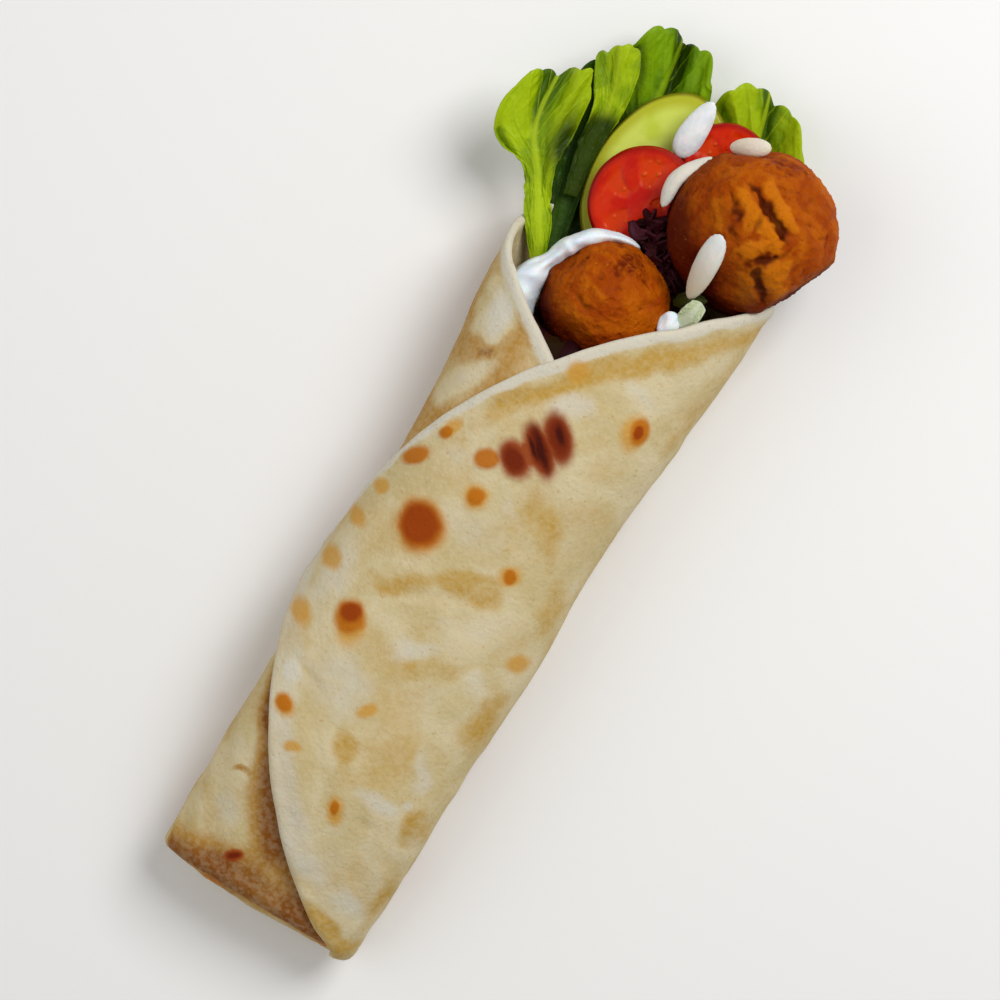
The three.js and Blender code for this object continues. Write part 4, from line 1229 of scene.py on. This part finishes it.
# Leaves and onion pieces, each between two edges or along a spine. The cup is how far the sides rise, as a share
# of the half width. Ruffle, lobe, pucker and rib are in millimetres; dark_at and dark_below are shares of the
# leaf that place its painted shade.
LETTUCE_LEFT = {
    "left": [(-25, 84.5, 16), (-35, 96.5, 19), (-42.5, 108, 21), (-55.5, 113.5, 24), (-56, 131.5, 26)],
    "right": [(-22.8, 86, 16), (-26.8, 98, 18.5), (-33.5, 109, 20), (-34.8, 125, 22), (-38.5, 142, 24)],
    "cup": 0.1, "round": 0.04, "ruffle": 2.9, "ruffles": 15, "lobe": 4.2, "seed": 3,
    "pucker": 0.45, "rib": 0.5, "dark_at": (0.8, 0.7),
}
LETTUCE_CURL = {
    "left": [(-29, 108, 13), (-32.5, 121, 14.5), (-35, 134, 16.5), (-43.2, 147.5, 20)],
    "right": [(-25, 109, 12.5), (-26.5, 122, 14), (-26.3, 137, 16), (-29.5, 155, 19)],
    "cup": 0.25, "round": 0.04, "ruffle": 2.2, "ruffles": 17, "lobe": 3.4, "seed": 5,
    "pucker": 0.4, "rib": 0.3, "dark_below": 0.62,
}
LETTUCE_BACK = {
    "left": [(-23, 88, 5.5), (-27, 106, 5.2), (-31.5, 126, 6.5), (-34.5, 145, 8.5), (-33, 162, 13)],
    "right": [(-4, 88, 5.5), (-2.5, 108, 5.2), (-4, 128, 6.2), (-6.5, 147, 8), (-13.5, 165.5, 13)],
    "cup": 0.06, "round": 0.05, "ruffle": 3.2, "ruffles": 18, "lobe": 4.4, "seed": 8,
    "pucker": 0.45, "rib": 0.4, "dark_below": 0.66,
}
LETTUCE_RIGHT = {
    "left": [(1, 90, 5), (0, 110, 4.8), (-2, 130, 6), (-6, 146, 8.5), (-7, 161, 13)],
    "right": [(17, 92, 5), (24, 110, 5), (28.5, 127, 6.5), (28.5, 142, 9), (19, 164, 13)],
    "cup": 0.06, "round": 0.1, "ruffle": 2.9, "ruffles": 17, "lobe": 4.2, "seed": 21,
    "pucker": 0.4, "rib": 0.3, "dark_below": 0.5,
}
# A leaf deep between the left leaf and the cucumber, painted very dark as painted shade in the recess
LETTUCE_INNER = {
    "left": [(-27, 90, 9.5), (-32, 106, 10.5), (-37.5, 120, 12), (-42, 133, 14), (-44, 143, 16)],
    "right": [(-20, 90, 9), (-24, 108, 9.5), (-27, 124, 10.5), (-30, 138, 12), (-33, 150, 15)],
    "cup": 0.05, "round": 0.06, "ruffle": 1.2, "ruffles": 16, "lobe": 1.4, "seed": 14,
    "pucker": 0.4, "rib": 0.3,
}
ONION = {
    "onion_petal": {
        "spine": [(-6.8, 133, 20), (-6.5, 141.5, 22.6), (-6, 151, 23)],
        "half": 4.0, "cup": -0.25, "spread": (1.15, 0.8), "cream": (0.1, 0),
    },
    "onion_top": {
        "spine": [(4.4, 142, 30), (9.5, 144.6, 34.5), (14.4, 147, 35.5)],
        "half": 2.6, "cup": -0.3, "spread": (1, 1), "cream": (0.9, 0.9),
    },
    "onion_side": {
        "spine": [(-3.1, 118.0, 30), (-3.8, 127.2, 31), (2.0, 137.0, 30.5)],
        "half": 2.6, "cup": -0.25, "roll": -0.7, "spread": (1.05, 0.95), "cream": (0.7, 0.7),
    },
    "onion_sliver": {
        "spine": [(16.3, 99.3, 40.5), (15.4, 108.6, 47.8), (14.8, 118, 52)],
        "half": 3.6, "cup": -0.3, "roll": -0.3, "spread": (0.85, 1.1), "cream": (1.3, 0.3),
    },
}
ONION_BODY = {"thickness": 2.4, "round": 0, "pucker": 0.05, "veins": False, "inside": False, "plump": True}
PALE_GREEN = {
    "spine": [(17.6, 91.2, 37.5), (19.2, 95.8, 41), (19.8, 100, 42.5)],
    "widths": [2, 2.9, 2.2], "thickness": 1.2, "cup": 0.3, "round": 0.1, "pucker": 0.2, "rib": 0.2,
    "inside": False,
}
HERB = {
    "spine": [(13.6, 96.6, 33), (16.6, 99.2, 37), (21.2, 101.4, 39)],
    "widths": [0.8, 2.1, 2.3, 0.8], "cup": 0.4, "round": 0.1, "pucker": 0.3, "rib": 0.2, "inside": False,
}


def lettuce_material(name, shades):
    s = Shader(name, roughness=0.45, specular=0.14)
    light, middle, dark, rib = shades
    base = s.tone(colour(*middle), light, s.noise(9, 4, 0.5), 0.4, 0.64)
    base = s.tone(base, dark, s.noise(14, 3), 0.52, 0.74, 0.45)
    # Painted light and shade: ruffle crests painted lighter as highlight, hollows darker as shade.
    base = s.tone(base, light, s.value("lift"), 0.2, 1.8, 0.9)
    base = s.tone(base, dark, s.value("lift"), -0.1, -1.6, 0.95)
    base = s.tone(base, rib, s.value("vein"), 0.15, 0.85, 0.6)
    base = s.tone(base, light, s.value("margin"), 0.9, 1.0, 0.5)
    base = s.tone(base, SHADE_GREEN, s.value("shade"), 0.0, 1.0, 0.94)
    s.paint(base)
    first = s.bump(s.noise(1.1, 3), 0.2, 0.8)
    s.bump(s.noise(3.4, 3), 0.45, 0.7, first)
    return s.material


def onion_material():
    s = Shader("raw onion", roughness=0.42, specular=0.2, Subsurface_Weight=0.3, Subsurface_Scale=0.003)
    base = s.tone(colour(220, 226, 230), (236, 236, 236), s.noise(3.5, 3, 0.4), 0.35, 0.65)
    base = s.tone(base, (218, 200, 168), s.value("cream"), 0.0, 1.3, 0.9)
    lines = s.noise(1.4, 2, stretch=(1, 0.12, 1))
    base = s.tone(base, (206, 212, 204), lines, 0.52, 0.68, 0.3)
    s.paint(base)
    s.bump(lines, 0.08, 0.4)
    return s.material


# White sauce banked against the left falafel

SAUCE = {
    "start": 0.49, "end": 1.31, "reach": (18.4, 23.2), "wide": (2.7, 5.6), "widens": (0.5, 0.8),
    "tall": 11.5, "height": 26.8,
}
# A drop of sauce between the small falafel, the front rim and the pale leaf
SAUCE_DROP = {"at": (15.4, 90.2, 38.0), "radii": (3.2, 4.2, 3.0)}


def make_sauce(material):
    steps, sides = 150, 90
    t = np.linspace(0.004, 0.996, steps)[:, None]
    around = np.linspace(0, 2 * math.pi, sides, endpoint=False)[None, :]
    turn = mix(SAUCE["start"] * math.pi, SAUCE["end"] * math.pi, t) + 0 * around
    probe = np.stack([20 * np.cos(turn), 20 * np.sin(turn), 8 * np.sin(around) + 0 * t], -1)
    size = np.sin(math.pi * t) ** 0.45 * (1 + 0.25 * noise(probe, 7, 41) + 0.12 * noise(probe, 3, 42))
    size = size * (1 - 0.45 * smooth(0.8, 1, t))
    far = smooth(*SAUCE["widens"], t)
    reach = mix(*SAUCE["reach"], far) + mix(*SAUCE["wide"], far) * size * np.cos(around)
    middle = np.array(FALAFEL_LEFT["at"])
    points = np.stack(
        [
            middle[0] + reach * np.cos(turn),
            middle[1] + reach * np.sin(turn),
            SAUCE["height"] + SAUCE["tall"] * size * np.sin(around) + 3 * t,
        ],
        -1,
    )
    points = inside_roll(points, 0.0)
    away = points - middle
    distance = np.linalg.norm(away, axis=-1, keepdims=True)
    points = middle + away / distance * np.maximum(distance, FALAFEL_LEFT["radius"] - 0.6)
    ends = [points[0].mean(axis=0), points[-1].mean(axis=0)]
    vertices = np.concatenate([points.reshape(-1, 3), ends])
    return make_mesh("white_sauce", vertices, tube_faces(steps, sides), material)


def make_sauce_drop(material):
    direction, faces = ball_grid(5)
    reach = 1 + 0.25 * noise(direction, 0.7, 45)
    points = np.array(SAUCE_DROP["at"]) + direction * reach[:, None] * np.array(SAUCE_DROP["radii"])
    return make_mesh("sauce_drop", points, faces, material)


def sauce_material():
    s = Shader("white sauce", roughness=0.5, specular=0.2, Subsurface_Weight=0.5, Subsurface_Scale=0.003)
    base = s.tone(colour(226, 238, 250), (238, 244, 248), s.noise(5, 2), 0.4, 0.6)
    base = s.tone(base, (168, 184, 120), s.noise(0.8, 2), 0.73, 0.77, 0.5)
    s.paint(base)
    s.bump(s.noise(2.4, 3), 0.3, 0.6)
    return s.material


# The mixed filling in the roll, with chopped bits on its open end, painted near black as shade

FILLING_TOP = 77.0


def make_filling(material):
    rows, columns = 90, 120
    arc = np.linspace(-HALF_GIRTH, HALF_GIRTH, columns, endpoint=False)[None, :]
    low = FOOT_Y + 12
    body = 50
    shares = np.concatenate([np.linspace(0, 1, body), np.ones(rows - body)])[:, None]
    draw_in = np.concatenate([np.zeros(body), np.linspace(0.02, 0.995, rows - body)])[:, None]
    y = mix(low, FILLING_TOP - 6, shares) + 0 * arc
    narrow = 5 * bump(shares, 0, 0.06) + 3 * bump(shares, 1, 0.05)
    wall = on_roll(arc + 0 * y, y, (1 + second_layer(arc)) * BREAD_THICKNESS + 0.9 + narrow)
    height = middle_height(FILLING_TOP)
    wall[..., 0] *= 1 - draw_in
    wall[..., 2] = height + (wall[..., 2] - height) * (1 - draw_in)
    flat = wall * np.array([1, 0, 1])
    top = FILLING_TOP - 6 + 5 * smooth(30, 8, wall[..., 2])
    _, gap, tint = grains(flat, 5.5, 23)
    top = top + 3.0 * smooth(0, 0.35, gap) * tint + 1.0 * noise(flat, 3, 24)
    wall[..., 1] = np.where(shares >= 1, top, wall[..., 1])
    ends = np.array([[0, low - 2, height], wall[-1].mean(axis=0)])
    vertices = np.concatenate([wall.reshape(-1, 3), ends])
    tints = np.concatenate([tint.ravel(), [0.5, 0.5]])
    return make_mesh("mixed_filling", vertices, tube_faces(rows, columns), material, {"tint": tints})


def filling_material():
    s = Shader("mixed filling", roughness=0.6, specular=0.06)
    # Painted shade: near-black browns and maroons, for the deep shade in the roll's mouth.
    base = s.tone(colour(52, 12, 6), (40, 24, 4), s.value("tint"), 0.3, 0.5)
    base = s.tone(base, (40, 8, 12), s.value("tint"), 0.55, 0.62)
    base = s.tone(base, (84, 46, 20), s.value("tint"), 0.92, 0.96)
    s.paint(base)
    s.bump(s.noise(1.5, 3), 0.3, 0.6)
    return s.material


# Shreds of red cabbage heaped in the gap between the falafels, coloured near black as painted shade for the deep
# gap

CABBAGE = {"at": (6.8, 104.4, 24.0), "radii": (15.5, 7.5, 8.0), "turn": -0.64, "shreds": 150}
# Rows and columns of one shred
SHRED_GRID = (16, 7)


def make_cabbage(material):
    random = np.random.default_rng(77)
    points, faces = [], []
    count = 0
    cosine, sine = math.cos(CABBAGE["turn"]), math.sin(CABBAGE["turn"])
    turn = np.array([[cosine, sine, 0], [-sine, cosine, 0], [0, 0, 1]])
    for _ in range(CABBAGE["shreds"]):
        direction = random.normal(size=3)
        direction /= np.linalg.norm(direction)
        reach = random.uniform(0.1, 1) ** 0.5
        middle = (np.array(CABBAGE["radii"]) * direction * reach) @ turn + np.array(CABBAGE["at"])
        run = random.normal(size=3) * np.array([1, 1, 0.6])
        run /= np.linalg.norm(run)
        bow = np.cross(run, random.normal(size=3))
        bow *= random.uniform(1, 2.5) / np.linalg.norm(bow)
        length = random.uniform(2.5, 5)
        spec = {
            "spine": [middle - run * length, middle + bow, middle + run * length],
            "widths": [1.0, 1.8, 1.7, 0.9], "roll": random.uniform(0, 3.1), "cup": 0.3, "round": 0,
        }
        surface, u, *_ = leaf_surface(spec, *SHRED_GRID)
        normal = grid_normals(surface)
        half = 0.45 * (0.5 + 0.5 * smooth(0, 0.25, 1 - np.abs(u)))[..., None]
        both = np.stack([surface + normal * half, surface - normal * half]).reshape(-1, 3)
        points.append(inside_roll(both, 0.0))
        faces.append(closed_faces(*SHRED_GRID, False) + count)
        count += len(both)
    return make_mesh("red_cabbage_shreds", np.concatenate(points), np.concatenate(faces), material)


def cabbage_material():
    s = Shader("red cabbage", roughness=0.45, specular=0.1)
    # Painted shade: the cabbage is painted near black, darker than red cabbage, for the deep gap.
    base = s.tone(colour(46, 8, 12), (62, 14, 28), s.noise(4, 3), 0.4, 0.65)
    base = s.tone(base, (26, 4, 8), s.noise(6, 2), 0.5, 0.7, 0.6)
    s.paint(base)
    s.bump(s.noise(1.0, 2), 0.12, 0.5)
    return s.material


# Floor and light, in metres and watts

FLOOR_HALF = 3.0
KEY_LIGHT = {"direction": (0.35, 0.85, 1.1), "distance": 1.1, "size": 0.6, "power": 8.5}
FILL_LIGHT = {"direction": (-0.9, -0.5, 1.2), "distance": 1.3, "size": 1.2, "power": 4.5}
SKY_STRENGTH = 0.3


def add_stage():
    corners = [(x * FLOOR_HALF, y * FLOOR_HALF, 0) for x, y in ((-1, -1), (1, -1), (1, 1), (-1, 1))]
    mesh = bpy.data.meshes.new("floor")
    mesh.from_pydata(corners, [], [(0, 1, 2, 3)])
    floor = bpy.data.objects.new("floor", mesh)
    bpy.context.collection.objects.link(floor)
    s = Shader("pale floor", roughness=0.9)
    s.paint(colour(244, 243, 241))
    mesh.materials.append(s.material)


def add_light(name, direction, distance, size, power):
    data = bpy.data.lights.new(name, "AREA")
    data.size = size
    data.energy = power
    light = bpy.data.objects.new(name, data)
    bpy.context.collection.objects.link(light)
    aim = np.array(direction, float) / np.linalg.norm(direction)
    side = np.cross([0, 0, 1], aim)
    side /= np.linalg.norm(side)
    turn = Matrix((side, np.cross(aim, side), aim)).transposed().to_4x4()
    light.matrix_world = Matrix.Translation(TARGET * MM + aim * distance) @ turn


def add_lights():
    add_light("key", **KEY_LIGHT)
    add_light("fill", **FILL_LIGHT)
    world = bpy.data.worlds.new("studio")
    world.use_nodes = True
    background = world.node_tree.nodes["Background"]
    background.inputs["Color"].default_value = (1, 1, 1, 1)
    background.inputs["Strength"].default_value = SKY_STRENGTH
    bpy.context.scene.world = world
    bpy.context.scene.view_settings.view_transform = "Standard"


add_camera()
add_stage()
add_lights()

bread = bread_material()
place(make_flatbread(bread), "flatbread", "flatbread")
place(make_foot(bread), "flatbread")

crust = falafel_material()
place(make_falafel("falafel_small", FALAFEL_LEFT, SMALL_CRACKS, crust), "falafel", "falafel_left")
place(make_falafel("falafel_large", FALAFEL_RIGHT, CRACKS, crust), "falafel", "falafel_right")

tomato = tomato_material()
place(make_slice("tomato_slice_front", TOMATO_FRONT, tomato_face(2, 5), tomato), "tomato", "tomato_front")
place(make_slice("tomato_slice_back", TOMATO_BACK, tomato_face(5, 4), tomato), "tomato", "tomato_back")
place(make_slice("cucumber_disc", CUCUMBER, cucumber_face, cucumber_material()), "cucumber", "cucumber_slice")

SHADE_GREEN = (24, 46, 0)
LEAF_SHADES = ((162, 188, 10), (124, 154, 4), (62, 92, 0), (178, 200, 30))
# Darker copies of the lettuce colours: painted shade for the back leaf, and deep painted shadow for the inner
# leaf.
SHADED_LEAF_COLOURS = ((122, 160, 4), (82, 120, 0), (32, 54, 0), (146, 176, 20))
DEEP_SHADOW_LEAF_COLOURS = ((44, 76, 0), (30, 56, 0), (14, 30, 0), (56, 88, 4))
HERB_SHADES = ((54, 58, 14), (40, 42, 8), (24, 26, 4), (66, 72, 22))
leaf_light = lettuce_material("lettuce leaf", LEAF_SHADES)
leaf_in_shade = lettuce_material("shaded lettuce leaf", SHADED_LEAF_COLOURS)
place(make_leaf("lettuce_leaf_left", LETTUCE_LEFT, leaf_light), "lettuce", "lettuce_left")
place(make_leaf("lettuce_leaf_curl", LETTUCE_CURL, leaf_light, 120, 70, 6), "lettuce", "lettuce_curl")
place(make_leaf("lettuce_leaf_back", LETTUCE_BACK, leaf_in_shade), "lettuce", "lettuce_back")
# The inner leaf's material, painted near black as shade.
leaf_in_deep_shadow = lettuce_material("inner leaf", DEEP_SHADOW_LEAF_COLOURS)
place(make_leaf("lettuce_leaf_inner", LETTUCE_INNER, leaf_in_deep_shadow, 110, 50, 6), "lettuce")
place(make_leaf("lettuce_leaf_right", LETTUCE_RIGHT, leaf_light), "lettuce", "lettuce_right")

onion = onion_material()
for node, spec in ONION.items():
    shares = np.linspace(0, 1, 17)
    rounding = np.sqrt(np.clip(1 - np.abs(2 * shares - 1) ** 2.4, 0.02, 1))
    widths = spec["half"] * mix(*spec["spread"], shares) * rounding
    place(make_leaf(node + "_piece", {**spec, **ONION_BODY, "widths": widths}, onion, 60, 40), "onion", node)
pale_shades = ((206, 214, 184), (192, 202, 158), (146, 162, 104), (216, 222, 198))
pale_leaf = lettuce_material("pale leaf", pale_shades)
place(make_leaf("pale_green_piece", PALE_GREEN, pale_leaf, 60, 50, 4), "pale_leaf", "pale_green")
place(make_leaf("herb_piece", HERB, lettuce_material("dark herb", HERB_SHADES), 60, 50, 5), "lettuce")

white_sauce = sauce_material()
place(make_sauce(white_sauce), "sauce", "sauce")
place(make_sauce_drop(white_sauce), "sauce")
place(make_filling(filling_material()), "filling", "filling")
place(make_cabbage(cabbage_material()), "red_cabbage", "red_cabbage")
